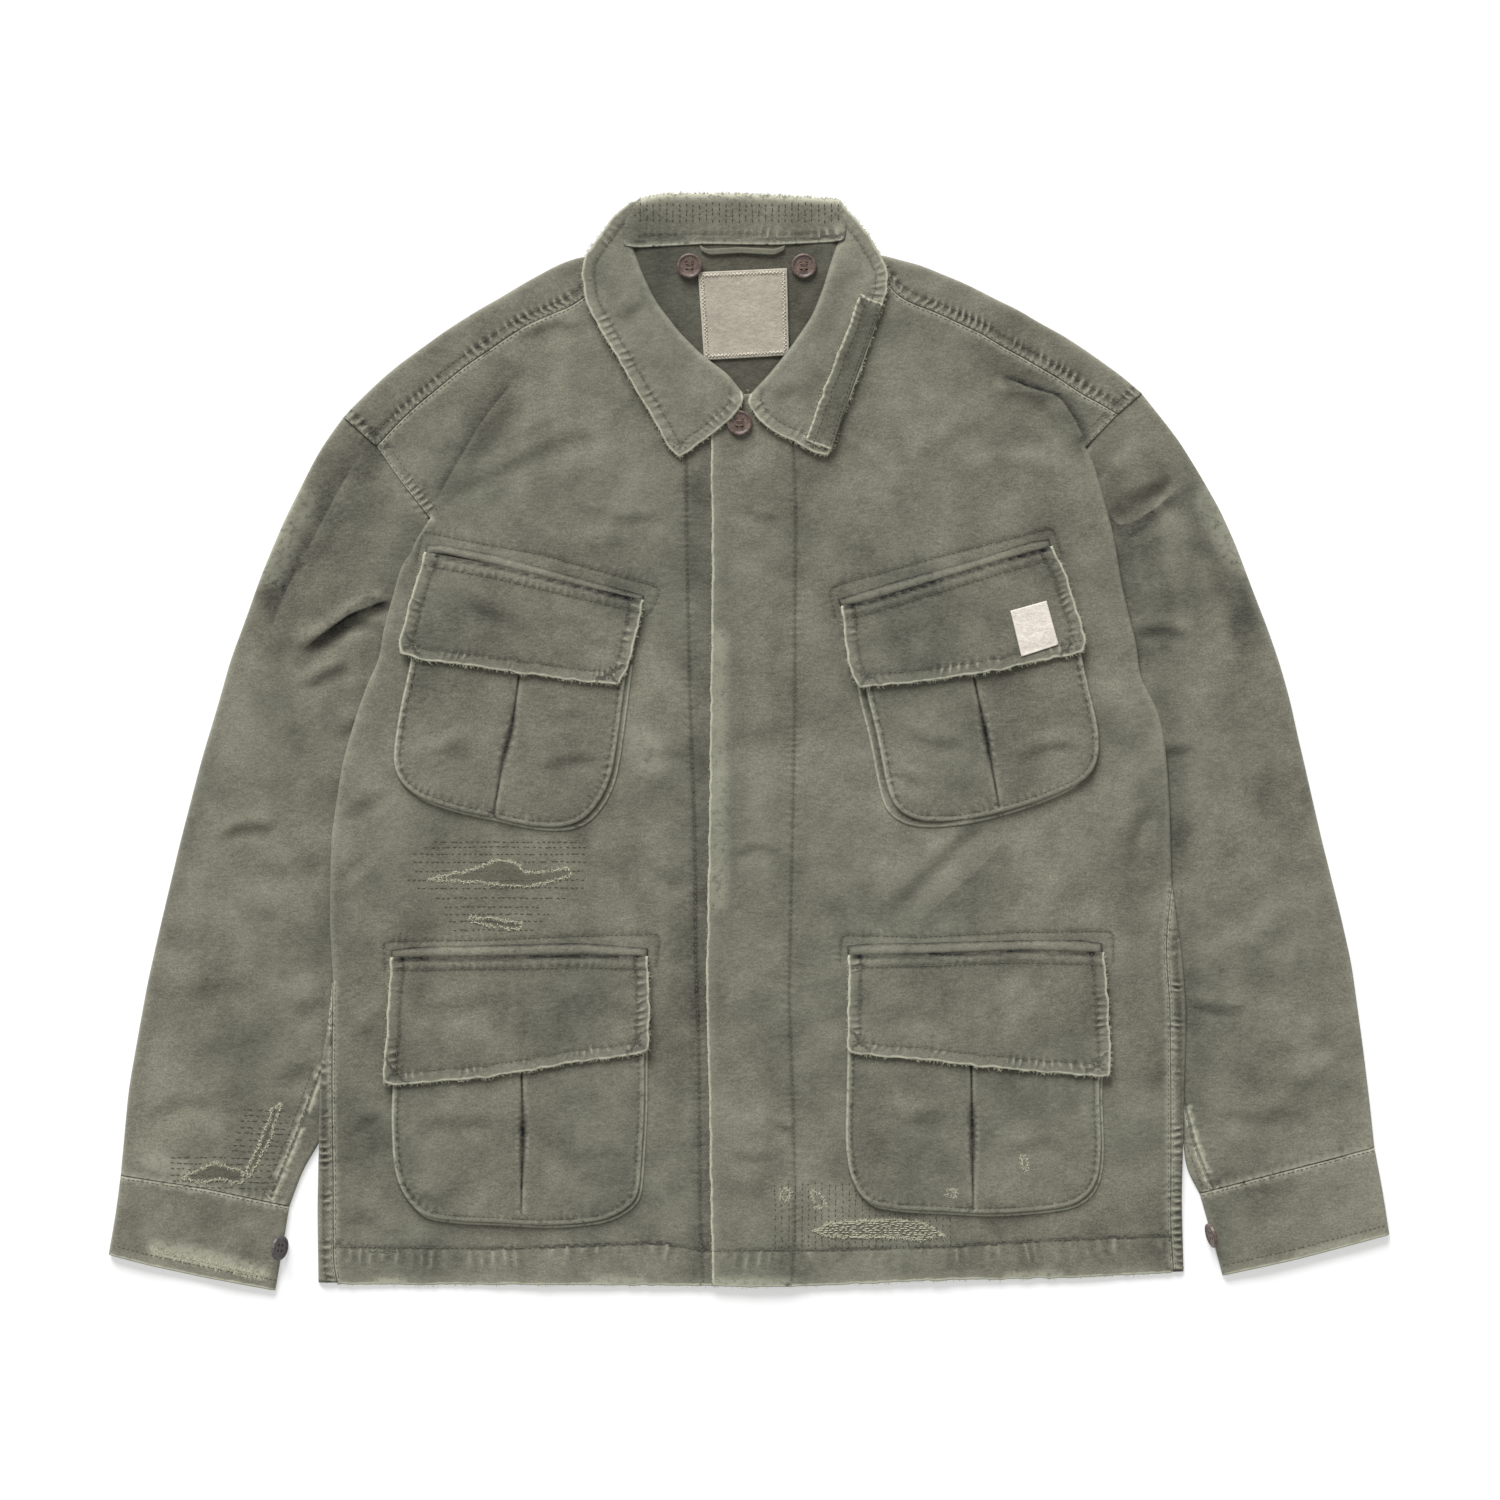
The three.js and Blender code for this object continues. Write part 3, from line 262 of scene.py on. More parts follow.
class Graph:
    """A material's nodes. Inputs are given by name, as values or as another node's output."""

    def __init__(self, name):
        self.material = bpy.data.materials.new(name)
        self.material.use_nodes = True
        self.tree = self.material.node_tree
        self.tree.nodes.clear()

    def node(self, kind, inputs=None, **settings):
        node = self.tree.nodes.new(kind)
        for key, value in settings.items():
            setattr(node, key, value)
        for key, value in (inputs or {}).items():
            if isinstance(value, bpy.types.NodeSocket):
                self.tree.links.new(value, node.inputs[key])
            else:
                node.inputs[key].default_value = value
        return node

    def math(self, operation, first, second=0.0):
        return self.node("ShaderNodeMath", {0: first, 1: second}, operation=operation).outputs[0]

    def attribute(self, name):
        return self.node("ShaderNodeAttribute", attribute_name=name).outputs["Fac"]

    def noise(self, scale, detail=3.0, roughness=0.55, vector=None):
        inputs = {"Scale": scale, "Detail": detail, "Roughness": roughness}
        inputs["Vector"] = vector if vector is not None else self.place
        return self.node("ShaderNodeTexNoise", inputs).outputs["Fac"]

    def ease(self, value, low, high, to_low=0.0, to_high=1.0):
        inputs = {"Value": value, "From Min": low, "From Max": high, "To Min": to_low, "To Max": to_high}
        return self.node("ShaderNodeMapRange", inputs, interpolation_type="SMOOTHSTEP").outputs["Result"]

    def mix(self, share, first, second, blend="MIX"):
        inputs = {0: share, 6: first, 7: second}
        return self.node("ShaderNodeMix", inputs, data_type="RGBA", blend_type=blend).outputs[2]

    def stretch(self, scale, turn=0.0):
        inputs = {"Vector": self.place, "Scale": scale, "Rotation": (0, 0, math.radians(turn))}
        return self.node("ShaderNodeMapping", inputs).outputs[0]

    @property
    def place(self):
        return self.node("ShaderNodeTexCoord").outputs["Object"]

    def finish(self, inputs):
        shader = self.node("ShaderNodeBsdfPrincipled", inputs)
        output = self.node("ShaderNodeOutputMaterial")
        self.tree.links.new(shader.outputs[0], output.inputs[0])
        return self.material


def twill(name, base, worn, dark, cool, wear=1.0, mottle=1.0):
    """Faded cotton twill. It reads the distances that cloth() stores on each piece, in millimetres."""
    g = Graph(name)
    yarn = g.noise(1.0, 2, 0.6, g.stretch((620, 2100, 900), 28))
    slub = g.noise(1.0, 2, 0.6, g.stretch((190, 620, 400), -62))
    heather = g.noise(820, 3, 0.7)
    cloud = g.noise(13, 2, 0.5)
    patch = g.noise(40, 2, 0.5)
    streak = g.noise(1.0, 2, 0.5, g.stretch((90, 20, 60), 8))
    color = g.mix(g.ease(heather, 0.32, 0.7), dark, worn)
    color = g.mix(0.8, color, base)
    drift = g.noise(9, 2, 0.5, g.stretch((1, 1, 1), 40))
    color = g.mix(g.ease(drift, 0.3, 0.7, 0.0, 0.4), color, cool)
    tone = g.math("MULTIPLY", g.math("SUBTRACT", yarn, 0.5), 0.95)
    tone = g.math("ADD", tone, g.math("MULTIPLY", g.math("SUBTRACT", slub, 0.5), 0.6))
    tone = g.math("ADD", tone, g.math("MULTIPLY", g.math("SUBTRACT", cloud, 0.5), 0.7 * mottle))
    tone = g.math("ADD", tone, g.math("MULTIPLY", g.math("SUBTRACT", patch, 0.5), 0.6 * mottle))
    tone = g.math("ADD", tone, g.math("MULTIPLY", g.math("SUBTRACT", streak, 0.5), 0.16 * mottle))

    # Puckers run across a seam, uneven in pitch, with abraded ridges and dark valleys
    along = g.attribute("along")
    uneven = g.math("MULTIPLY", g.noise(11, 2), 40.0)
    phase = g.math("MULTIPLY", g.math("ADD", along, uneven), 2 * math.pi / 5.6)
    wave = g.math("SINE", phase)
    pucker = g.math("MULTIPLY", g.attribute("pucker"), g.ease(g.noise(42, 3), 0.35, 0.65, 0.0, 1.0))
    ridges = g.math("MULTIPLY", wave, pucker)
    tone = g.math("ADD", tone, g.math("MULTIPLY", ridges, 0.19))
    tone = g.math("ADD", tone, g.math("MULTIPLY", g.attribute("shade"), -0.5))
    groove = g.ease(g.attribute("seam"), 0.0, 2.6, 1.0, 0.0)
    broken = g.ease(g.noise(150, 2), 0.3, 0.6, 0.6, 1.0)
    tone = g.math("ADD", tone, g.math("MULTIPLY", g.math("MULTIPLY", groove, broken), -0.3))
    bright = g.math("ADD", tone, 1.0)
    color = g.mix(1.0, color, g.node("ShaderNodeCombineColor", {0: bright, 1: bright, 2: bright}).outputs[0],
                  "MULTIPLY")

    # Worn edges
    edge = g.math("ADD", g.attribute("edge"), g.math("MULTIPLY", g.math("SUBTRACT", g.noise(170, 3), 0.5), 2.2))
    rim = g.math("MULTIPLY", g.ease(edge, 0.6, 2.4, 1.0, 0.0), wear)
    faded = g.math("MULTIPLY", g.ease(g.attribute("edge"), 0.0, 9.0, 0.16, 0.0), wear)
    rubbed = g.math("MULTIPLY", g.attribute("wear"), g.ease(g.noise(260, 4, 0.7), 0.3, 0.52))
    share = g.math("MAXIMUM", g.math("MULTIPLY", rim, 0.95), g.math("MAXIMUM", faded, rubbed))
    ridge_wear = g.math("MULTIPLY", g.ease(ridges, 0.35, 1.0), 0.3)
    share = g.math("MAXIMUM", share, ridge_wear)
    color = g.mix(share, color, worn)

    grain = g.math("ADD", g.math("MULTIPLY", yarn, 0.6), g.math("MULTIPLY", heather, 0.5))
    fine = g.node("ShaderNodeBump", {"Height": grain, "Strength": 0.8, "Distance": 0.22 * MM}).outputs[0]
    soft = g.math("ADD", g.noise(64, 2), g.math("MULTIPLY", g.noise(190, 2), 0.25))
    inputs = {"Height": soft, "Strength": 0.6, "Distance": 1.9 * MM, "Normal": fine}
    crumple = g.node("ShaderNodeBump", inputs).outputs[0]
    inputs = {"Height": ridges, "Strength": 0.8, "Distance": 0.42 * MM, "Normal": crumple}
    normal = g.node("ShaderNodeBump", inputs).outputs[0]
    rough = g.ease(heather, 0.3, 0.7, 0.86, 0.97)
    return g.finish({
        "Base Color": color, "Roughness": rough, "Normal": normal, "Sheen Weight": 0.12,
        "Sheen Roughness": 0.6, "Specular IOR Level": 0.2,
    })


OLIVE = srgb(115, 112, 98)
OLIVE_WORN = srgb(184, 184, 164)
OLIVE_DARK = srgb(78, 75, 63)
OLIVE_COOL = srgb(106, 109, 98)
cloth_material = twill("olive_twill", OLIVE, OLIVE_WORN, OLIVE_DARK, OLIVE_COOL, mottle=1.3)
inside_material = twill("olive_twill_inside", srgb(105, 101, 87), srgb(146, 145, 127), srgb(70, 67, 56), OLIVE_COOL,
                        0.3)
label_material = twill("beige_label", srgb(176, 168, 152), srgb(206, 200, 184), srgb(148, 140, 124),
                       srgb(170, 166, 152), 0.4, 0.6)
tape_material = twill("collar_tape_twill", srgb(92, 90, 77), OLIVE_WORN, srgb(66, 64, 54), srgb(88, 90, 80))
ecru_material = twill("ecru_label", srgb(226, 217, 206), srgb(240, 233, 224), srgb(196, 186, 170),
                      srgb(222, 216, 206), 0.3, 0.25)


def thread_material(name, color, shadow):
    g = Graph(name)
    twist = g.noise(1.0, 2, 0.6, g.stretch((2400, 2400, 2400), 20))
    shade = g.mix(g.ease(twist, 0.3, 0.7), shadow, color)
    bump = g.node("ShaderNodeBump", {"Height": twist, "Strength": 0.5, "Distance": 0.15 * MM}).outputs[0]
    return g.finish({"Base Color": shade, "Roughness": 0.8, "Normal": bump, "Sheen Weight": 0.2})


def horn(name, color, light, dark):
    """Turned horn-like buttons with soft clouds and a low sheen."""
    g = Graph(name)
    clouds = g.noise(160, 4, 0.6)
    flecks = g.noise(900, 3, 0.6)
    shade = g.mix(g.ease(clouds, 0.35, 0.7), color, light)
    shade = g.mix(g.ease(flecks, 0.5, 0.75), shade, dark)
    bump = g.node("ShaderNodeBump", {"Height": flecks, "Strength": 0.3, "Distance": 0.1 * MM}).outputs[0]
    rough = g.ease(clouds, 0.3, 0.7, 0.38, 0.55)
    return g.finish({"Base Color": shade, "Roughness": rough, "Normal": bump, "Specular IOR Level": 0.45})


button_material = horn("button_horn", srgb(92, 77, 70), srgb(124, 106, 97), srgb(60, 50, 45))
dark_button_material = horn("button_dark", srgb(80, 74, 74), srgb(106, 99, 99), srgb(50, 45, 46))
thread_dark = thread_material("thread_dark", srgb(84, 82, 70), srgb(58, 56, 47))
thread_olive = thread_material("thread_olive", srgb(112, 111, 96), srgb(82, 80, 67))
thread_light = thread_material("thread_light", srgb(186, 186, 160), srgb(146, 146, 120))
thread_cream = thread_material("thread_cream", srgb(234, 227, 212), srgb(204, 196, 180))
thread_pale = thread_material("thread_pale", srgb(204, 204, 180), srgb(160, 160, 136))
thread_button = thread_material("thread_button", srgb(176, 150, 128), srgb(120, 98, 84))


# Cloth pieces


class Outline:
    """A closed outline in plan, from stretches that each have a kind: worn, seam, fold, hidden or open."""

    def __init__(self, stretches, step=2.4, fray=0.0, seed=1, reach=7.0):
        self.lines = []
        ring = []
        noise = np.random.default_rng(seed)
        for kind, points in stretches:
            path = smooth_line(line(points), step * MM, reach)
            if kind == "worn" and fray:
                jitter = noise.normal(size=len(path))
                jitter = np.convolve(jitter, [0.3, 0.5, 0.3], "same") * fray
                jitter[[0, -1]] = 0
                path = path + (offset_line(path, 1) - path) * jitter[:, None]
            self.lines.append((kind, path))
            ring.append(path[:-1])
        self.ring = np.vstack(ring)
        x, y = self.ring.T
        turn = (x * np.roll(y, -1) - np.roll(x, -1) * y).sum()
        self.turn = 1 if turn > 0 else -1

    def of(self, *kinds):
        return [path for kind, path in self.lines if kind in kinds]

    def inset(self, path, distance):
        return offset_line(path, distance * self.turn)


def nearest_of(points, paths, far=99.0):
    """The smallest distance to some lines, in millimetres, and the place along the nearest one."""
    gap = np.full(len(points), far)
    along = np.zeros(len(points))
    for path in paths:
        distance, place = near(points, path)
        closer = distance / MM < gap
        gap[closer] = distance[closer] / MM
        along[closer] = place[closer] / MM
    return gap, along


def fill_outline(outline, spacing, extra):
    """Points and triangles that fill an outline, with extra lines of points where detail needs them."""
    ring = outline.ring
    low, high = ring.min(axis=0), ring.max(axis=0)
    step = spacing * MM
    xs = np.arange(low[0], high[0], step)
    ys = np.arange(low[1], high[1], step * 0.87)
    grid = np.array([(x + (k % 2) * step / 2, y) for k, y in enumerate(ys) for x in xs])
    grid = grid[inside(grid, ring)]
    closed = np.vstack([ring, ring[:1]])
    grid = grid[near(grid, closed)[0] > 0.5 * step]
    added = []
    for path in extra:
        path = path[inside(path, ring)]
        if len(path):
            path = path[near(path, closed)[0] > 0.25 * step]
        if len(path) < 2:
            continue
        grid = grid[near(grid, path)[0] > 0.5 * step]
        if added:
            clear = near(path, np.vstack(added))[0] > 0.3 * step
            path = path[clear]
        added.append(path)
    points = np.vstack([ring, *added, grid])
    count = len(ring)
    edges = [(k, (k + 1) % count) for k in range(count)]
    result = delaunay_2d_cdt([Vector(p) for p in points], edges, [list(range(count))], 1, 1e-7)
    places = np.array([tuple(v) for v in result[0]])
    triangles = np.array([face for face in result[2] if len(face) == 3])
    a, b, c = places[triangles[:, 0]], places[triangles[:, 1]], places[triangles[:, 2]]
    area = (b[:, 0] - a[:, 0]) * (c[:, 1] - a[:, 1]) - (b[:, 1] - a[:, 1]) * (c[:, 0] - a[:, 0])
    triangles[area < 0] = triangles[area < 0][:, ::-1]
    return places, triangles[np.abs(area) > 1e-12]


def side_of(points, path, along):
    """1 for points left of a line, and -1 for those right of it."""
    index = np.clip((along / lengths_along(path)[-1] * (len(path) - 1)).astype(int), 0, len(path) - 2)
    step = path[index + 1] - path[index]
    away = points - path[index]
    return np.sign(step[:, 0] * away[:, 1] - step[:, 1] * away[:, 0])


def crease_height(points, creases):
    """Height that a table of creases adds, in metres. Each is a soft ridge, or a trough below zero,
    along a line: width, height, then its points. A fold has a ridge on its left and a trough on its right."""
    total = np.zeros(len(points))
    for kind, width, height, path in creases:
        path = smooth_line(line(path), 3 * MM, 5)
        gap, along = near(points, path)
        length = lengths_along(path)[-1]
        ends = ease(along, 0, 0.3 * length) * ease(length - along, 0, 0.3 * length)
        ends = np.maximum(ends, 0.0)
        if kind == "fold":
            u = side_of(points, path, along) * gap / (width * MM)
            total += ends * height * MM * u * np.exp(0.5 - u * u) * 1.2
        else:
            total += ends * height * MM * np.exp(-((gap / (width * MM)) ** 2))
    return total * CREASE


def blotches(points, spots):
    """Soft spots: how far they reach in pixels, how strong they are, then the line they follow."""
    total = np.zeros(len(points))
    for reach, strength, path in spots:
        gap = near(points, line(path))[0] / PHOTO_PIXEL
        total = np.maximum(total, strength * (1 - ease(gap, 0.3 * reach, reach)))
    return total


def sharp_shade(points, folds):
    """Painted shade on the right of each sharp fold's line, and a faint painted highlight on its left.
    Each is how far it reaches in millimetres, how strong it is, then its line."""
    total = np.zeros(len(points))
    for reach, strength, path in folds:
        path = path_of(path)
        gap, along = near(points, path)
        length = lengths_along(path)[-1]
        ends = ease(along, 0, 0.2 * length) * ease(length - along, 0, 0.2 * length)
        # dark is the painted shadow beside the fold, and pale is its painted highlight
        dark = np.exp(-gap / (reach * MM))
        pale = -0.35 * np.exp(-gap / (0.5 * reach * MM))
        total += strength * ends * np.where(side_of(points, path, along) < 0, dark, pale)
    return total


def store(mesh, name, values):
    mesh.attributes.new(name, "FLOAT", "POINT")
    mesh.attributes[name].data.foreach_set("value", np.asarray(values, np.float32))


def new_piece(name, vertices, faces, material):
    mesh = bpy.data.meshes.new(name)
    mesh.from_pydata([tuple(map(float, v)) for v in vertices], [], [tuple(map(int, f)) for f in faces])
    mesh.materials.append(material)
    mesh.shade_smooth()
    piece = bpy.data.objects.new(name, mesh)
    bpy.context.scene.collection.objects.link(piece)
    return piece


def place_piece(piece, node=None):
    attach(piece, "root")
    if node:
        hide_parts(node)
    return piece


def sheet_area(places, triangles):
    a, b, c = (places[triangles[:, k]] for k in range(3))
    return float(np.abs(np.cross(b - a, c - a)).sum() / 2)


def boundary_of(triangles):
    """The directed edges that only one triangle uses."""
    edges = np.concatenate([triangles[:, [0, 1]], triangles[:, [1, 2]], triangles[:, [2, 0]]])
    used = {(a, b) for a, b in map(tuple, edges)}
    return [(a, b) for a, b in used if (b, a) not in used]


class Cloth:
    """A flat piece of cloth: its plan, its height, and what its material needs to know."""

    def __init__(self, outline, spacing=3.0, seams=(), folds=()):
        self.outline = outline
        self.seams = [smooth_line(line(path), 2.2 * MM, 4) for path in seams]
        rings = []
        for path in outline.of("fold", "worn", "seam"):
            rings += [outline.inset(path, 0.9), outline.inset(path, 2.2)]
        for path in self.seams:
            rings += [offset_line(path, 1.6), offset_line(path, -1.6)]
        for _, _, path in folds:
            rings += [offset_line(path_of(path), 0.6), offset_line(path_of(path), -0.6)]
        self.places, self.triangles = fill_outline(outline, spacing, self.seams + rings)
        self.edge = nearest_of(self.places, outline.of("worn"))[0]
        self.fold = nearest_of(self.places, outline.of("fold"))[0]
        stitched = self.seams + outline.of("seam")
        self.seam, self.along = nearest_of(self.places, stitched)
        self.pucker = np.exp(-((self.seam / 5.0) ** 2))
        self.height = np.zeros(len(self.places))
        self.wear = np.zeros(len(self.places))
        self.shade = np.zeros(len(self.places))

    def groove(self, depth=0.35, width=1.6):
        self.height -= depth * MM * np.exp(-((self.seam / width) ** 2))

    def finish_mesh(self, mesh, copies=1):
        for name in ("edge", "seam", "along", "pucker", "wear", "shade"):
            store(mesh, name, np.tile(getattr(self, name), copies))

    def shell(self, name, thickness, material):
        """A piece with a top, an underside and a rim."""
        count = len(self.places)
        top = np.column_stack([self.places, self.height])
        under = top - [0, 0, thickness * MM]
        rim = [(a, a + count, b + count, b) for a, b in boundary_of(self.triangles)]
        faces = self.triangles.tolist() + (self.triangles[:, ::-1] + count).tolist() + rim
        piece = new_piece(name, np.vstack([top, under]), faces, material)
        self.finish_mesh(piece.data, 2)
        return piece

    def area(self):
        return sheet_area(self.places, self.triangles)

    def drop(self, points):
        """Height of the piece's top under points in plan."""
        corners = np.column_stack([self.places, self.height])
        tree = BVHTree.FromPolygons([Vector(corner) for corner in corners], self.triangles.tolist())
        heights = []
        for x, y in points:
            hit = tree.ray_cast(Vector((x, y, 1)), Vector((0, 0, -1)))[0]
            if hit is None:
                hit = tree.find_nearest(Vector((x, y, 0.01)))[0]
            heights.append(hit.z)
        return np.array(heights)


def declare_cut(cloth, rests_on=()):
    """Works out the flat cut of a piece that lies as it was cut: its oriented rectangle, and its area. It keeps and
    returns neither.
    """
    centred = cloth.places - cloth.places.mean(axis=0)
    axes = np.linalg.svd(centred, full_matrices=False)[2]
    spread = centred @ axes.T
    length, width = np.maximum(spread.max(axis=0) - spread.min(axis=0), MIN_CUT * MM)
    area = float(np.clip(cloth.area(), 0.31 * width * length, width * length))


def piping(cloth, strength=0.8):
    """The pale line that wear leaves along the seamed edges of a piece."""
    gap = nearest_of(cloth.places, cloth.outline.of("seam"))[0]
    return strength * np.exp(-(((gap - 1.3) / 0.9) ** 2))


def rounded(fold, level, middle, radius=EDGE_ROLL):
    """Height near a folded edge, which drops from the level to the middle of the fold."""
    t = np.clip(fold / radius, 0, 1)
    return middle + (level - middle) * np.sqrt(1 - (1 - t) ** 2)


# Back: the sheet on the floor, and what of it shows on the front beside the side and shoulder seams


LEFT_SIDE = [
    (318, 1283), (317, 1211), (318, 1169), (320, 1082), (322, 1055), (327, 1033), (332, 983), (330, 930),
    (330, 892), (331, 839), (341, 770), (348, 742), (359, 707), (369, 679), (381, 657), (381, 641),
    (385, 623), (394, 593), (402, 561), (420, 534), (430, 518),
]
LEFT_SIDE_SEAM = [(337, 1283), (333, 1264), (333, 1180), (332, 1080), (333, 983)]
LEFT_SIDE_END = 7  # index of the point where the seam runs into the edge
LEFT_ARMHOLE = [(430, 518), (400, 481), (376, 446), (360, 433), (343, 417)]
LEFT_ARMHOLE_SEAM = LEFT_ARMHOLE[:3]
SLEEVE_STEP = 0.9  # how far a sleeve lies below the body at its armhole
LEFT_SHOULDER = [
    (343, 417), (353, 406), (380, 380), (400, 363), (420, 349), (440, 334), (460, 321), (479, 309),
    (501, 297), (520, 285), (540, 274), (560, 263), (584, 255), (615, 256),
]
LEFT_SHOULDER_SEAM = [
    (376, 446), (400, 420), (420, 402), (440, 386), (460, 369), (479, 356), (501, 341), (520, 328),
    (540, 319), (558, 311), (569, 308), (584, 296), (609, 278),
]
NECK_BACK = [(615, 256), (629, 243), (649, 239), (704, 236), (776, 237), (824, 236), (842, 242), (858, 256)]
RIGHT_SHOULDER = [
    (858, 256), (880, 253), (900, 260), (920, 264), (940, 273), (961, 281), (981, 291), (1000, 301),
    (1020, 310), (1040, 323), (1060, 333), (1080, 346), (1100, 360), (1121, 375), (1142, 393),
]
RIGHT_SHOULDER_SEAM = [
    (885, 276), (889, 287), (900, 298), (920, 306), (940, 313), (961, 324), (981, 332), (1000, 345),
    (1020, 355), (1040, 367), (1060, 378), (1080, 393), (1100, 403), (1118, 414),
]
RIGHT_ARMHOLE = [(1142, 393), (1118, 414), (1086, 447)]
RIGHT_SIDE = [
    (1086, 447), (1095, 466), (1106, 507), (1114, 535), (1121, 580), (1129, 616), (1138, 649), (1139, 676),
    (1149, 694), (1159, 712), (1164, 737), (1167, 760), (1170, 808), (1171, 854), (1172, 884), (1177, 919),
    (1182, 953), (1186, 1006), (1186, 1044), (1184, 1090), (1184, 1120), (1182, 1196), (1184, 1272),
]
RIGHT_SIDE_SEAM = [
    (1172, 884), (1166, 938), (1167, 968), (1170, 1006), (1171, 1100), (1171, 1230), (1174, 1272),
]
RIGHT_SIDE_START = 14  # index of the point where the seam leaves the edge
HEM_BACK = [(1184, 1272), (1080, 1277), (930, 1280), (790, 1284), (712, 1284), (500, 1283), (318, 1283)]

front_top = {"right": surface_of("front_panel_right"), "left": surface_of("front_panel_left")}
back_under = surface_of("back_panel", from_below=True)
body_ripple = ripple(3, 60, 0.5) + ripple(4, 24, 0.36) + ripple(8, 12, 0.09)


def body_height(points, side):
    level = sample(front_top[side], points)
    return level + sample(body_ripple, points)


def edge_middle(points, side):
    under = sample(back_under, points)
    return 0.5 * (under + sample(front_top[side], points))


def back_sheet():
    outline = Outline([
        ("fold", LEFT_SIDE), ("seam", LEFT_ARMHOLE), ("fold", LEFT_SHOULDER), ("hidden", NECK_BACK),
        ("fold", RIGHT_SHOULDER), ("seam", RIGHT_ARMHOLE), ("fold", RIGHT_SIDE), ("worn", HEM_BACK),
    ])
    cloth = Cloth(outline, 5.0)
    under = np.maximum(sample(back_under, cloth.places), 0)
    side = np.where(cloth.places[:, 0] < 0, 0, 1)
    top = np.where(side == 0, sample(front_top["right"], cloth.places), sample(front_top["left"], cloth.places))
    middle = 0.5 * (under + top)
    outer = rounded(cloth.fold, under, middle)
    cloth.height = outer + CLOTH * MM * ease(cloth.fold, 0, 3)
    cloth.height += sample(ripple(5, 60, 0.12), cloth.places) * ease(cloth.fold, 4, 30)
    cloth.shade += BACK_SHADE
    thickness = (cloth.height - outer) / MM
    count = len(cloth.places)
    upper = np.column_stack([cloth.places, cloth.height])
    lower = np.column_stack([cloth.places, cloth.height - np.maximum(thickness, 0.4) * MM])
    rim = [(a, a + count, b + count, b) for a, b in boundary_of(cloth.triangles)]
    faces = cloth.triangles.tolist() + (cloth.triangles[:, ::-1] + count).tolist() + rim
    piece = new_piece("back_cloth", np.vstack([upper, lower]), faces, inside_material)
    cloth.finish_mesh(piece.data, 2)
    return place_piece(piece, "back_panel")


def seam_strip(name, edge, seam, kinds, side, stitch_inset):
    """A stretch of the back that shows on the front between a folded edge and its seam.
    kinds are those of its two ends."""
    outline = Outline([("fold", edge), (kinds[0], [edge[-1], seam[0]]), ("seam", seam),
                       (kinds[1], [seam[-1], edge[0]])])
    cloth = Cloth(outline, 2.4)
    rows = [outline.inset(path, stitch_inset) for path in outline.of("seam")]
    gap, along = nearest_of(cloth.places, rows + outline.of("seam"))
    cloth.seam, cloth.along = gap, along
    cloth.pucker = np.exp(-((gap / 4.5) ** 2))
    level = body_height(cloth.places, side)
    cloth.height = rounded(cloth.fold, level, edge_middle(cloth.places, side))
    cloth.height += 0.3 * MM * ease(nearest_of(cloth.places, outline.of("seam"))[0], 0, 3) * ease(cloth.fold, 2, 5)
    cloth.wear += 0.2 * np.exp(-((cloth.fold / 2.5) ** 2))
    rim = nearest_of(cloth.places, outline.of("seam"))[0]
    cloth.shade += 0.35 * np.exp(-(((rim - 5.0) / 3.5) ** 2))
    cloth.wear += piping(cloth)
    cloth.shade += 0.8 * np.exp(-((rim / 0.5) ** 2))
    cloth.pucker = BAND_PUCKER * np.exp(-(((rim - 5.0) / 4.0) ** 2))
    piece = cloth.shell(name, 1.0, cloth_material)
    place_piece(piece, None)
    return cloth


back_sheet()
STRIPS = {
    "side_right": (LEFT_SIDE[:LEFT_SIDE_END], LEFT_SIDE_SEAM[::-1], ("hidden", "hidden")),
    "side_left": (RIGHT_SIDE[RIGHT_SIDE_START:], RIGHT_SIDE_SEAM[::-1], ("hidden", "hidden")),
    "shoulder_right": (LEFT_SHOULDER, LEFT_SHOULDER_SEAM[::-1], ("hidden", "seam")),
    "shoulder_left": (RIGHT_SHOULDER, RIGHT_SHOULDER_SEAM[::-1], ("seam", "hidden")),
}
strips = {name: seam_strip(name, *values, name.split("_")[1], 7) for name, values in STRIPS.items()}


# Pockets: the stitched box on the front, the rolled welt, the flap, the body with its pleat


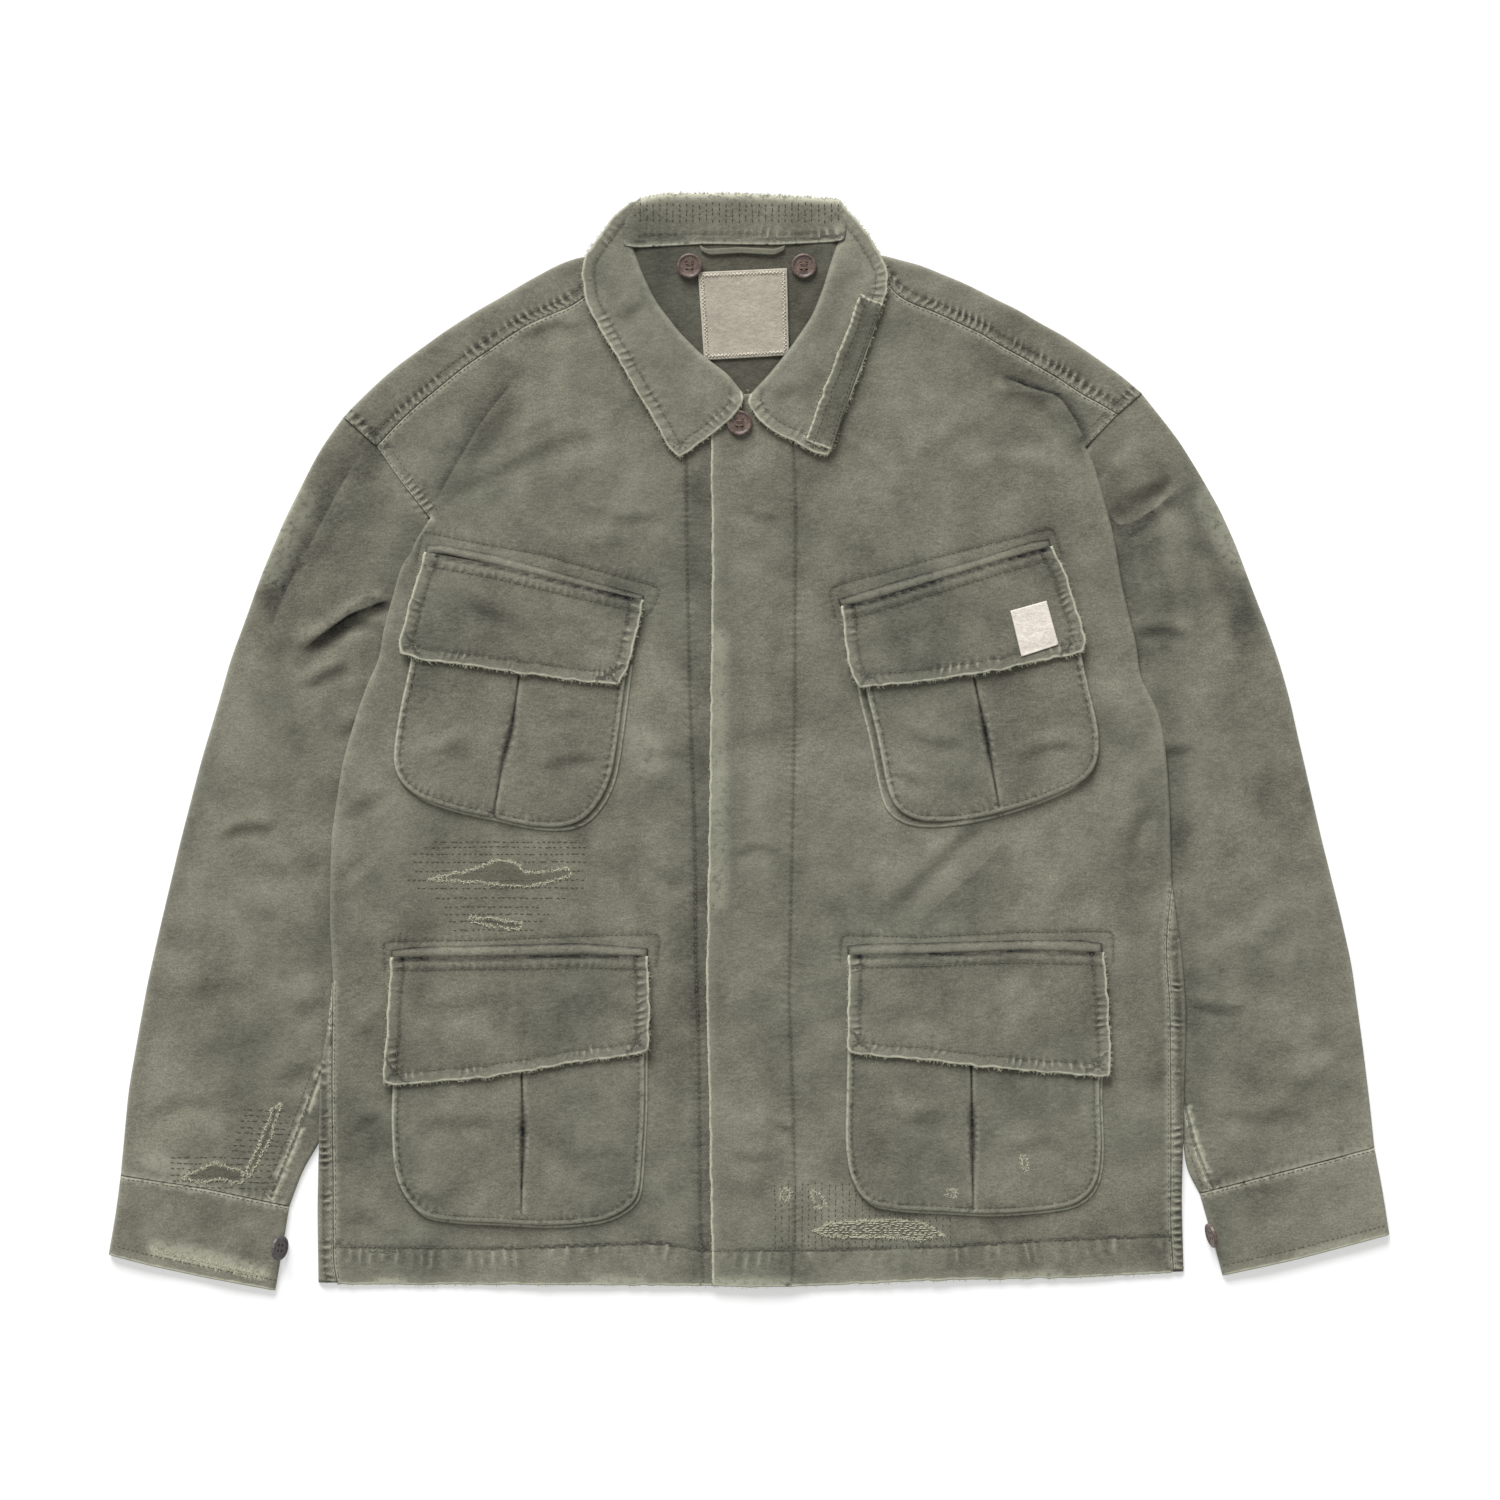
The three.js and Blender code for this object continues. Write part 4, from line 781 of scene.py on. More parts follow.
POCKETS = {
    "chest_right": {
        "box": [(416, 562), (423, 531), (468, 541), (541, 554), (613, 574), (660, 587), (661, 590), (648, 617), (641, 612)],
        "welt": ([(426, 545), (439, 544), (500, 556), (580, 578), (644, 595)],
                 [(643, 603), (622, 600), (580, 589), (500, 569), (446, 556), (425, 555)]),
        "flap": {
            "top": [(644, 600), (580, 585), (500, 566), (425, 552)],
            "left": [(425, 552), (412, 596), (399, 640), (400, 653)],
            "bottom": [(400, 653), (420, 660), (481, 668), (541, 676), (600, 684), (619, 685)],
            "right": [(619, 685), (624, 676), (631, 659), (638, 628), (644, 600)],
        },
        "body": {
            "top": [(628, 660), (500, 640), (412, 632)],
            "edge": [(412, 632), (411, 661), (401, 703), (396, 733), (393, 758), (393, 766), (400, 784), (420, 799),
                     (459, 811), (494, 818), (521, 825), (547, 828), (567, 827), (585, 820), (600, 802),
                     (611, 780), (616, 753), (621, 718), (628, 660)],
        },
        "gusset": (5, 4),
        "pleat": [(520, 668), (512, 727), (502, 764), (493, 817)],
        "creases": [("fold", 7, 0.7, [(470, 720), (440, 742), (410, 748)]), ("fold", 6, 0.6, [(530, 770), (570, 758), (605, 762)]),
                    ("ridge", 12, 0.9, [(450, 690), (440, 760)]), ("ridge", 12, 0.8, [(565, 700), (560, 780)]),
                    ("fold", 6, 0.5, [(548, 720), (580, 712)])],
        "flap_creases": [("fold", 9, 0.6, [(460, 600), (520, 622)]), ("ridge", 12, 0.6, [(500, 580), (488, 655)]),
                         ("fold", 8, 0.5, [(570, 610), (600, 655)])],
    },
    "chest_left": {
        "box": [(835, 617), (829, 587), (880, 573), (940, 556), (1000, 541), (1053, 527), (1061, 553)],
        "welt": ([(838, 599), (900, 580), (980, 558), (1029, 542), (1049, 539)],
                 [(1053, 551), (1031, 555), (1000, 564), (941, 582), (866, 604), (841, 609)]),
        "flap": {
            "top": [(1052, 546), (1000, 560), (941, 578), (866, 601), (841, 606)],
            "left": [(841, 606), (845, 645), (852, 680), (859, 688)],
            "bottom": [(859, 688), (900, 684), (941, 680), (1000, 670), (1040, 661), (1083, 653)],
            "right": [(1083, 653), (1086, 639), (1078, 615), (1066, 575), (1052, 546)],
        },
        "body": {
            "top": [(1076, 630), (960, 652), (862, 664)],
            "edge": [(862, 664), (866, 694), (876, 731), (886, 784), (892, 806), (906, 817), (923, 822), (941, 822),
                     (967, 820), (1000, 813), (1031, 804), (1060, 793), (1084, 782), (1096, 769), (1100, 749),
                     (1098, 725), (1090, 694), (1076, 630)],
        },
        "gusset": (-7, 6),
        "pleat": [(972, 668), (985, 731), (999, 806)],
        "creases": [("fold", 7, 0.7, [(900, 730), (940, 745), (970, 740)]), ("fold", 6, 0.6, [(1010, 760), (1050, 745), (1085, 748)]),
                    ("ridge", 12, 0.9, [(920, 700), (934, 790)]), ("ridge", 12, 0.8, [(1030, 690), (1046, 770)]),
                    ("fold", 6, 0.5, [(890, 770), (930, 786)])],
        "flap_creases": [("fold", 9, 0.6, [(880, 640), (930, 620)]), ("ridge", 12, 0.6, [(940, 590), (952, 665)])],
    },
    "lower_right": {
        "box": [(385, 970), (383, 941), (480, 940), (578, 936), (660, 934), (656, 966)],
        "welt": ([(391, 950), (412, 947), (498, 945), (581, 943), (648, 948)],
                 [(648, 959), (581, 957), (498, 959), (421, 960), (391, 960)]),
        "flap": {
            "top": [(648, 956), (581, 954), (498, 956), (391, 957)],
            "left": [(391, 957), (388, 1006), (383, 1081)],
            "bottom": [(383, 1081), (392, 1085), (428, 1083), (479, 1078), (520, 1072), (578, 1062), (642, 1054), (649, 1049)],
            "right": [(649, 1049), (650, 1010), (648, 956)],
        },
        "body": {
            "top": [(645, 1030), (520, 1046), (393, 1060)],
            "edge": [(393, 1060), (391, 1121), (393, 1166), (400, 1191), (420, 1217), (460, 1222), (498, 1223),
                     (543, 1226), (578, 1224), (607, 1220), (626, 1210), (639, 1199), (642, 1159), (645, 1108),
                     (645, 1030)],
        },
        "gusset": (3, 3),
        "pleat": [(521, 1060), (523, 1127), (521, 1212)],
        "creases": [("fold", 8, 0.6, [(410, 1130), (450, 1120), (500, 1126)]), ("ridge", 13, 0.9, [(458, 1100), (452, 1200)]),
                    ("ridge", 13, 0.8, [(580, 1085), (586, 1190)]), ("fold", 8, 0.5, [(560, 1160), (620, 1150)]),
                    ("fold", 6, 0.5, [(410, 1195), (450, 1203)])],
        "flap_creases": [("fold", 10, 0.6, [(420, 1010), (500, 1000)]), ("ridge", 14, 0.6, [(560, 975), (556, 1050)]),
                         ("fold", 8, 0.5, [(600, 1000), (640, 1020)])],
    },
    "lower_left": {
        "box": [(840, 962), (841, 935), (920, 937), (1024, 932), (1113, 931), (1113, 960)],
        "welt": ([(847, 946), (863, 944), (920, 943), (1024, 940), (1080, 940), (1102, 943)],
                 [(1103, 955), (1024, 953), (920, 957), (848, 958)]),
        "flap": {
            "top": [(1104, 952), (1024, 949), (920, 953), (848, 955)],
            "left": [(848, 955), (848, 1000), (846, 1050), (850, 1053)],
            "bottom": [(850, 1053), (877, 1056), (920, 1060), (977, 1066), (1009, 1069), (1053, 1073), (1086, 1076), (1109, 1076)],
            "right": [(1109, 1076), (1111, 1064), (1110, 1038), (1108, 997), (1104, 952)],
        },
        "body": {
            "top": [(1100, 1050), (970, 1042), (848, 1032)],
            "edge": [(848, 1032), (847, 1054), (846, 1102), (845, 1140), (847, 1164), (852, 1184), (866, 1205), (901, 1210),
                     (948, 1212), (974, 1214), (1000, 1214), (1039, 1211), (1071, 1207), (1091, 1195),
                     (1100, 1176), (1102, 1143), (1100, 1105), (1100, 1050)],
        },
        "gusset": (3, 3),
        "pleat": [(971, 1056), (972, 1120), (973, 1213)],
        "creases": [("fold", 8, 0.6, [(870, 1110), (910, 1120), (955, 1116)]), ("ridge", 13, 0.9, [(908, 1090), (910, 1190)]),
                    ("ridge", 13, 0.8, [(1036, 1095), (1040, 1190)]), ("fold", 8, 0.5, [(1000, 1150), (1070, 1140)])],
        "flap_creases": [("fold", 10, 0.6, [(880, 1010), (960, 1016)]), ("ridge", 14, 0.6, [(1020, 970), (1024, 1055)])],
    },
}


# Fronts

PLACKET_EDGE = [(711, 394), (711, 440), (712, 560), (711, 650), (709, 830), (706, 980), (709, 1098), (712, 1285)]
PLACKET_STITCH = [
    (793, 440), (796, 504), (795, 609), (795, 700), (791, 903), (789, 997), (792, 1076), (795, 1182),
    (794, 1252), (791, 1286),
]
FACING_STITCH = [(686, 448), (687, 560), (690, 700), (695, 840), (696, 974), (699, 1044), (700, 1204), (703, 1284)]
HEM_STITCH = {
    "right": [(337, 1247), (500, 1249), (658, 1243), (712, 1252)],
    "left": [(712, 1251), (760, 1250), (850, 1250), (960, 1246), (1060, 1240), (1174, 1236)],
}
BODY_CREASES = {
    "right": [
        ("ridge", 10, 2.2, [(518, 380), (501, 400), (481, 423), (460, 464), (441, 494), (432, 512)]),
        ("ridge", 9, -0.9, [(530, 392), (505, 428), (486, 460), (466, 498)]),
        ("fold", 7, 0.9, [(517, 338), (554, 324), (586, 332)]),
        ("ridge", 12, 0.7, [(543, 477), (582, 477)]),
        ("fold", 7, 0.45, [(625, 755), (690, 755)]),
        ("fold", 6, 0.5, [(371, 861), (341, 892)]),
        ("fold", 7, 0.6, [(386, 990), (352, 1029)]),
        ("ridge", 8, -0.9, [(370, 1010), (368, 1100)]),
        ("fold", 8, 0.6, [(350, 1210), (400, 1240)]),
        ("ridge", 16, 0.8, [(560, 840), (450, 900), (360, 940)]),
        ("fold", 9, 0.5, [(640, 480), (600, 530), (560, 545)]),
        ("ridge", 9, 0.6, [(352, 760), (348, 830), (342, 900)]),
        ("fold", 8, 0.8, [(440, 500), (500, 470), (560, 440), (620, 430)]),
        ("fold", 7, 0.6, [(560, 500), (620, 520), (676, 516)]),
        ("fold", 7, 0.7, [(345, 820), (368, 800), (392, 790)]),
        ("ridge", 12, 0.8, [(650, 620), (640, 720), (660, 820)]),
        ("fold", 7, 0.5, [(640, 850), (664, 880), (690, 884)]),
        ("fold", 6, 0.5, [(345, 1140), (366, 1120), (388, 1116)]),
    ],
    "left": [
        ("fold", 6, 2.2, [(1060, 394), (1037, 388), (1009, 381), (990, 387)]),
        ("ridge", 8, 2.0, [(1045, 393), (1060, 410), (1078, 436), (1088, 452)]),
        ("ridge", 7, -1.0, [(1030, 402), (1048, 422), (1066, 448)]),
        ("fold", 8, 0.9, [(870, 930), (935, 865), (1000, 800)]),
        ("fold", 8, 0.8, [(1124, 850), (1150, 800)]),
        ("fold", 7, 0.45, [(870, 755), (912, 755)]),
        ("fold", 5, 0.7, [(775, 1122), (792, 1134)]),
        ("ridge", 16, 0.8, [(900, 860), (1000, 870), (1120, 900)]),
        ("fold", 10, 0.6, [(905, 470), (960, 430), (1010, 420)]),
        ("ridge", 10, 0.7, [(1150, 960), (1148, 1060), (1142, 1160)]),
        ("fold", 8, 0.5, [(820, 480), (850, 560), (830, 590)]),
        ("fold", 8, 0.9, [(1066, 470), (1030, 452), (990, 450), (950, 470)]),
        ("fold", 7, 0.7, [(830, 430), (880, 470), (900, 520)]),
        ("ridge", 12, 0.8, [(826, 640), (836, 740), (830, 830)]),
        ("fold", 8, 0.7, [(1110, 700), (1130, 780), (1120, 850)]),
        ("fold", 6, 0.5, [(730, 500), (760, 520), (786, 516)]),
        ("fold", 6, 0.5, [(726, 860), (756, 846), (784, 850)]),
        ("fold", 6, 0.5, [(724, 1150), (752, 1160), (786, 1150)]),
    ],
}


SHARP_FOLDS = {
    "front_right": [(9, 0.7, [(520, 372), (500, 398), (480, 424), (458, 462), (440, 494), (430, 512)])],
    "front_left": [
        (7, 0.9, [(1087, 446), (1074, 418), (1058, 395), (1030, 388), (1000, 374)]),
        (14, 0.4, [(915, 925), (952, 892), (990, 858), (1012, 828)]),
    ],
    "sleeve_right": [
        (14, 0.5, [(364, 446), (338, 490), (312, 540), (286, 590), (266, 642)]),
        (5, 1.3, [(298, 653), (322, 634), (350, 614), (394, 597)]),
    ],
    "sleeve_left": [(8, 0.8, [(1106, 508), (1118, 526), (1134, 522), (1156, 508), (1176, 490)])],
}
ARMHOLE_BANDS = {"right": LEFT_ARMHOLE_SEAM, "left": [(1118, 414), (1086, 447)]}


def hem_heights(side):
    """The hem's stitch line as plan x and plan y."""
    path = path_of(HEM_STITCH[side])
    return path[:, 0], path[:, 1]


def front_sheet(side, stretches, seams):
    cloth = Cloth(Outline(stretches, fray=0.35, seed=11), 2.8, seams, SHARP_FOLDS[f"front_{side}"])
    level = body_height(cloth.places, side) + crease_height(cloth.places, BODY_CREASES[side])
    level = keep_above(level, FRONT_LOWEST)
    cloth.height = rounded(cloth.fold, level, edge_middle(cloth.places, side))
    cloth.groove()
    cloth.pucker *= FRONT_PUCKER
    hem, hem_along = nearest_of(cloth.places, [path_of(HEM_STITCH[side])])
    within = (hem < 22) & (cloth.places[:, 1] < np.interp(cloth.places[:, 0], *hem_heights(side)))
    cloth.pucker = np.where(within, HEM_PUCKER * (1 - ease(hem, 8, 22)), cloth.pucker)
    cloth.along = np.where(within, 0.6 * hem_along, cloth.along)
    armhole, along = nearest_of(cloth.places, [path_of(ARMHOLE_BANDS[side])])
    band = BAND_PUCKER * np.exp(-(((armhole - 4.5) / 3.5) ** 2))
    band *= ease(along, 0, 6) * ease(along.max() - along, 0, 6)
    cloth.pucker = np.maximum(cloth.pucker, band)
    return cloth


front_right = front_sheet("right", [
    ("seam", LEFT_SHOULDER_SEAM[::-1]),
    ("seam", LEFT_ARMHOLE_SEAM[::-1]),
    ("fold", LEFT_SIDE[LEFT_SIDE_END:][::-1] + [(333, 983)]),
    ("seam", LEFT_SIDE_SEAM[::-1]),
    ("worn", [(337, 1285), (500, 1285), (712, 1286), (766, 1286)]),
    ("hidden", [(766, 1286), (766, 800), (766, 398)]),
    ("hidden", [(766, 398), (738, 395), (718, 393), (687, 371), (661, 347), (635, 316), (618, 290), (609, 278)]),
], [FACING_STITCH, HEM_STITCH["right"], POCKETS["chest_right"]["box"], POCKETS["lower_right"]["box"]])

front_left = front_sheet("left", [
    ("worn", PLACKET_EDGE),
    ("worn", [(712, 1286), (750, 1287), (790, 1287), (860, 1284), (930, 1281), (1080, 1278), (1174, 1273)]),
    ("seam", RIGHT_SIDE_SEAM[::-1]),
    ("fold", RIGHT_SIDE[: RIGHT_SIDE_START + 1][::-1]),
    ("seam", [(1086, 447), (1118, 414)]),
    ("seam", RIGHT_SHOULDER_SEAM[::-1]),
    ("hidden", [(885, 276), (857, 271), (850, 294), (832, 324), (812, 354), (788, 379), (761, 394), (711, 394)]),
], [PLACKET_STITCH, HEM_STITCH["left"], POCKETS["chest_left"]["box"], POCKETS["lower_left"]["box"]])

FRONT_SHADES = {
    "right": [
        (26, 0.5, [(700, 450), (704, 800), (706, 1270)]),
        (30, 0.25, [(690, 560), (690, 1200)]),
        (40, 0.25, [(440, 530), (620, 575)]),
        (50, 0.2, [(350, 900), (345, 1200)]),
        (24, 0.45, [(508, 376), (478, 414), (448, 462), (430, 500)]),
    ],
    "left": [
        (26, 0.22, [(782, 460), (786, 800), (781, 1250)]),
        (40, 0.2, [(850, 600), (1040, 545)]),
        (50, 0.2, [(1150, 800), (1160, 1200)]),
        (10, 0.9, [(1008, 380), (1030, 389), (1056, 396)]),
        (12, 0.6, [(1062, 402), (1078, 427), (1087, 446)]),
    ],
}
FRONT_WEAR = {
    "right": [(26, 0.28, [(640, 740), (650, 760)]), (14, 0.5, [(600, 1285), (640, 1285)]),
              (12, 0.6, [(380, 1285), (400, 1285)])],
    "left": [(14, 0.5, [(720, 1286), (790, 1288)]), (12, 0.5, [(1010, 1280), (1060, 1279)]),
             (20, 0.35, [(714, 640), (714, 900)])],
}


def finish_front(cloth, name, node, side):
    cloth.shade += blotches(cloth.places, FRONT_SHADES[side])
    cloth.shade += sharp_shade(cloth.places, SHARP_FOLDS[f"front_{side}"])
    cloth.wear += blotches(cloth.places, FRONT_WEAR[side])
    cloth.wear += 0.2 * np.exp(-((cloth.fold / 3) ** 2))
    cloth.wear += piping(cloth)
    piece = cloth.shell(name, CLOTH, cloth_material)
    cloth.area()
    return place_piece(piece, node)


finish_front(front_right, "front_right_cloth", "front_panel_right", "right")
finish_front(front_left, "front_left_cloth", "front_panel_left", "left")


# Sleeves and cuffs


RIGHT_CUFF_SEAM = [(120, 1176), (210, 1190), (289, 1207)]
LEFT_CUFF_SEAM = [(1200, 1194), (1215, 1190), (1375, 1148)]
SLEEVES = {
    "right": {
        "outline": [
            ("seam", [(430, 518), (403, 478), (379, 443), (363, 430), (343, 417)]),
            ("fold", [
                (343, 417), (326, 440), (314, 460), (304, 480), (294, 500), (284, 520), (267, 560), (259, 580),
                (245, 620), (230, 660), (219, 700), (207, 740), (201, 760), (180, 841), (158, 934),
                (147, 983), (136, 1044), (128, 1090), (120, 1176),
            ]),
            ("seam", RIGHT_CUFF_SEAM),
            ("fold", [
                (289, 1207), (303, 1169), (322, 1139), (331, 1084), (347, 1034), (367, 984), (375, 934),
                (387, 884), (400, 830), (417, 776), (437, 722), (452, 667), (460, 613), (451, 559), (430, 518),
            ]),
        ],
        "seams": [[(321, 1070), (297, 1135), (270, 1200)]],
        "creases": [
            ("fold", 16, 2.6, [(372, 440), (332, 502), (310, 547), (288, 595), (272, 641), (262, 671)]),
            ("ridge", 16, 1.6, [(334, 452), (300, 520), (276, 580), (256, 650)]),
            ("ridge", 12, -1.2, [(366, 452), (338, 506), (318, 552), (296, 600)]),
            ("fold", 6, 2.6, [(290, 650), (310, 646), (333, 630), (356, 616), (379, 607), (396, 592)]),
            ("fold", 5, 1.5, [(350, 618), (384, 627)]),
            ("fold", 6, 1.2, [(300, 690), (330, 672), (356, 664)]),
            ("fold", 6, 1.0, [(212, 840), (246, 826), (280, 830)]),
            ("fold", 7, 0.9, [(330, 740), (360, 720), (392, 716)]),
            ("ridge", 14, 1.3, [(420, 530), (392, 560), (370, 590)]),
            ("fold", 12, 1.0, [(250, 872), (290, 868), (330, 858)]),
            ("fold", 10, 0.9, [(290, 1012), (330, 996)]),
            ("fold", 10, 0.9, [(270, 1086), (314, 1064)]),
            ("fold", 6, 0.8, [(181, 763), (204, 770)]),
            ("ridge", 20, 1.1, [(250, 700), (230, 800), (200, 930), (170, 1060)]),
            ("ridge", 14, -0.9, [(300, 700), (285, 790), (262, 900)]),
            ("fold", 11, 0.8, [(170, 1000), (220, 985), (260, 990)]),
            ("fold", 9, 0.8, [(140, 1120), (180, 1100), (230, 1105)]),
        ],
        "shades": [
            (40, 0.4, [(420, 540), (385, 660), (350, 800), (335, 960)]),
            (30, 0.75, [(366, 452), (335, 496), (310, 540), (286, 590), (272, 640)]),
            (8, 1.3, [(350, 613), (370, 600), (388, 607)]),
            (12, 0.7, [(300, 660), (330, 641), (352, 616)]),
        ],
        "wear": [(24, 0.3, [(300, 500), (270, 570)]), (14, 0.35, [(150, 1160), (180, 1168)])],
        "side": "right",
    },
    "left": {
        "outline": [
            ("seam", [(1142, 393), (1128, 400), (1112, 411), (1096, 430), (1086, 447)]),
            ("fold", [
                (1086, 447), (1077, 470), (1062, 516), (1057, 559), (1061, 613), (1062, 667), (1084, 722),
                (1094, 776), (1108, 830), (1122, 884), (1138, 934), (1154, 984), (1162, 1034), (1174, 1084),
                (1183, 1134), (1186, 1169), (1200, 1194),
            ]),
            ("seam", LEFT_CUFF_SEAM),
            ("fold", [
                (1375, 1148), (1370, 1101), (1363, 1044), (1352, 964), (1342, 919), (1321, 835), (1304, 760),
                (1298, 735), (1291, 702), (1281, 666), (1268, 628), (1255, 595), (1240, 555), (1235, 542),
                (1220, 509), (1200, 474), (1179, 440), (1162, 418), (1142, 393),
            ]),
        ],
        "seams": [[(1184, 1100), (1196, 1146), (1213, 1190)]],
        "creases": [
            ("ridge", 8, -2.4, [(1108, 508), (1124, 528), (1146, 515), (1172, 490)]),
            ("fold", 5, 2.4, [(1178, 480), (1150, 510), (1126, 527), (1106, 512)]),
            ("fold", 6, 1.1, [(1120, 640), (1160, 628), (1200, 640)]),
            ("fold", 6, 1.0, [(1130, 740), (1166, 752), (1200, 748)]),
            ("fold", 6, 0.9, [(1180, 1000), (1220, 1012), (1256, 1006)]),
            ("ridge", 18, 2.2, [(1112, 455), (1135, 475), (1146, 500)]),
            ("fold", 12, 2.0, [(1240, 575), (1205, 522), (1192, 494), (1141, 405)]),
            ("ridge", 14, 2.0, [(1174, 502), (1184, 514), (1177, 557), (1169, 620)]),
            ("ridge", 12, -1.6, [(1120, 540), (1134, 620), (1150, 700)]),
            ("ridge", 12, 1.2, [(1255, 610), (1262, 671), (1262, 730)]),
            ("ridge", 11, -1.2, [(1246, 660), (1248, 717), (1252, 780)]),
            ("ridge", 18, 1.1, [(1200, 680), (1206, 800), (1216, 960)]),
            ("ridge", 15, -1.0, [(1228, 790), (1232, 880), (1240, 980)]),
            ("fold", 12, 0.9, [(1290, 900), (1250, 930), (1210, 935)]),
            ("ridge", 18, 0.9, [(1290, 860), (1310, 980), (1320, 1100)]),
            ("fold", 10, 0.8, [(1340, 1050), (1300, 1070), (1250, 1062)]),
            ("fold", 9, 0.8, [(1210, 1110), (1260, 1120), (1300, 1108)]),
        ],
        "shades": [
            (30, 0.55, [(1100, 480), (1122, 560), (1138, 660), (1160, 730), (1172, 860)]),
            (20, 0.3, [(1182, 900), (1190, 1000), (1190, 1100)]),
            (18, 0.8, [(1110, 504), (1126, 529), (1148, 518)]),
            (24, 0.6, [(1192, 500), (1212, 540), (1234, 590), (1246, 640)]),
            (20, 0.55, [(1148, 545), (1158, 590), (1164, 640)]),
        ],
        "wear": [(22, 0.3, [(1210, 500), (1240, 560)])],
        "side": "left",
    },
}
CUFFS = {
    "right": {
        "outline": [
            ("seam", RIGHT_CUFF_SEAM[::-1]),
            ("fold", [(120, 1176), (115, 1215), (108, 1255)]),
            ("open", [(108, 1255), (150, 1266), (200, 1277), (275, 1291)]),
            ("fold", [(275, 1291), (282, 1250), (289, 1207)]),
        ],
        "wear": [(12, 0.5, [(156, 1247), (190, 1254), (230, 1263), (262, 1272)])],
        "creases": [("fold", 12, 0.5, [(160, 1200), (150, 1245)]), ("fold", 12, 0.5, [(240, 1215), (228, 1262)])],
    },
    "left": {
        "outline": [
            ("seam", LEFT_CUFF_SEAM[::-1]),
            ("fold", [(1200, 1194), (1212, 1236), (1223, 1276)]),
            ("open", [(1223, 1276), (1300, 1259), (1390, 1235)]),
            ("fold", [(1390, 1235), (1383, 1190), (1375, 1148)]),
        ],
        "wear": [(10, 0.4, [(1300, 1257), (1380, 1237)])],
        "creases": [("fold", 12, 0.5, [(1270, 1195), (1282, 1240)]), ("fold", 12, 0.5, [(1340, 1180), (1346, 1222)])],
    },
}


sleeve_ripple = ripple(21, 44, 0.6) + ripple(22, 22, 0.3) + ripple(23, 12, 0.09)


def tube(name, node, outline, seams, creases, shades, wear, thickness, swell, side=None):
    """A flat tube of cloth: its upper and lower sheets share the folded edges and part at an open end."""
    shape = Outline(outline, seed=len(name))
    for kind, path in shape.lines:
        if kind == "open":
            shape.lines.append(("worn", path))
    cloth = Cloth(shape, 3.2, seams, SHARP_FOLDS.get(node, ()))
    top = sample(surface_of(node), cloth.places)
    level = top + crease_height(cloth.places, creases) + sample(sleeve_ripple, cloth.places)
    level += swell * MM * ease(cloth.fold, 2, 26)
    level = keep_above(level, SLEEVE_LOWEST)
    if side:
        mouth = nearest_of(cloth.places, shape.lines[0][1:])[0]
        tucked = body_height(cloth.places, side) - SLEEVE_STEP * MM
        level += (tucked - level) * (1 - ease(mouth, 1, 24))
    middle = np.full(len(cloth.places), 0.5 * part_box(node)[1][2])
    middle = np.minimum(middle, 0.5 * top)
    cloth.height = rounded(cloth.fold, level, middle)
    cloth.groove()
    cloth.shade += blotches(cloth.places, shades) + sharp_shade(cloth.places, SHARP_FOLDS.get(node, ()))
    cloth.wear += blotches(cloth.places, wear) + 0.22 * np.exp(-((cloth.fold / 2.5) ** 2))
    rim = nearest_of(cloth.places, [shape.lines[2 if side else 0][1]])[0]
    cloth.wear += 0.9 * np.exp(-(((rim - 1.3) / 0.9) ** 2))
    cloth.shade += 0.8 * np.exp(-((rim / 0.6) ** 2))
    for path in cloth.seams:
        rim = nearest_of(cloth.places, [path])[0]
        cloth.wear += 0.9 * np.exp(-(((rim - 1.6) / 0.9) ** 2))
    floor = rounded(cloth.fold, np.zeros(len(middle)), middle)
    count = len(cloth.places)
    shared = cloth.fold < 0.05
    lower = np.where(shared, np.arange(count), np.arange(count) + count)
    vertices = np.vstack([
        np.column_stack([cloth.places, cloth.height]),
        np.column_stack([cloth.places, floor]),
    ])
    faces = cloth.triangles.tolist() + lower[cloth.triangles[:, ::-1]].tolist()
    used = np.unique(np.array(faces))
    index = np.full(2 * count, -1)
    index[used] = np.arange(len(used))
    piece = new_piece(name, vertices[used], index[np.array(faces)].tolist(), cloth_material)
    for key in ("edge", "seam", "along", "pucker", "wear", "shade"):
        store(piece.data, key, np.tile(getattr(cloth, key), 2)[used])
    solidify = piece.modifiers.new("wall", "SOLIDIFY")
    solidify.thickness = thickness * MM
    solidify.offset = -1
    return place_piece(piece, node), cloth


sleeve_cloth = {}
for name, values in SLEEVES.items():
    sleeve_cloth[name] = tube(
        f"sleeve_{name}_cloth", f"sleeve_{name}", values["outline"], values["seams"], values["creases"],
        values["shades"], values["wear"], 1.2, 1.0, name,
    )[1]
cuff_cloth = {}
for name, values in CUFFS.items():
    cuff_cloth[name] = tube(
        f"cuff_{name}_cloth", f"cuff_{name}", values["outline"], [], values["creases"], [], values["wear"],
        1.6, 0.4,
    )[1]


# Pocket pieces


def surface_under(side, points):
    creases = crease_height(points, BODY_CREASES[side])
    return keep_above(body_height(points, side) + creases, FRONT_LOWEST)


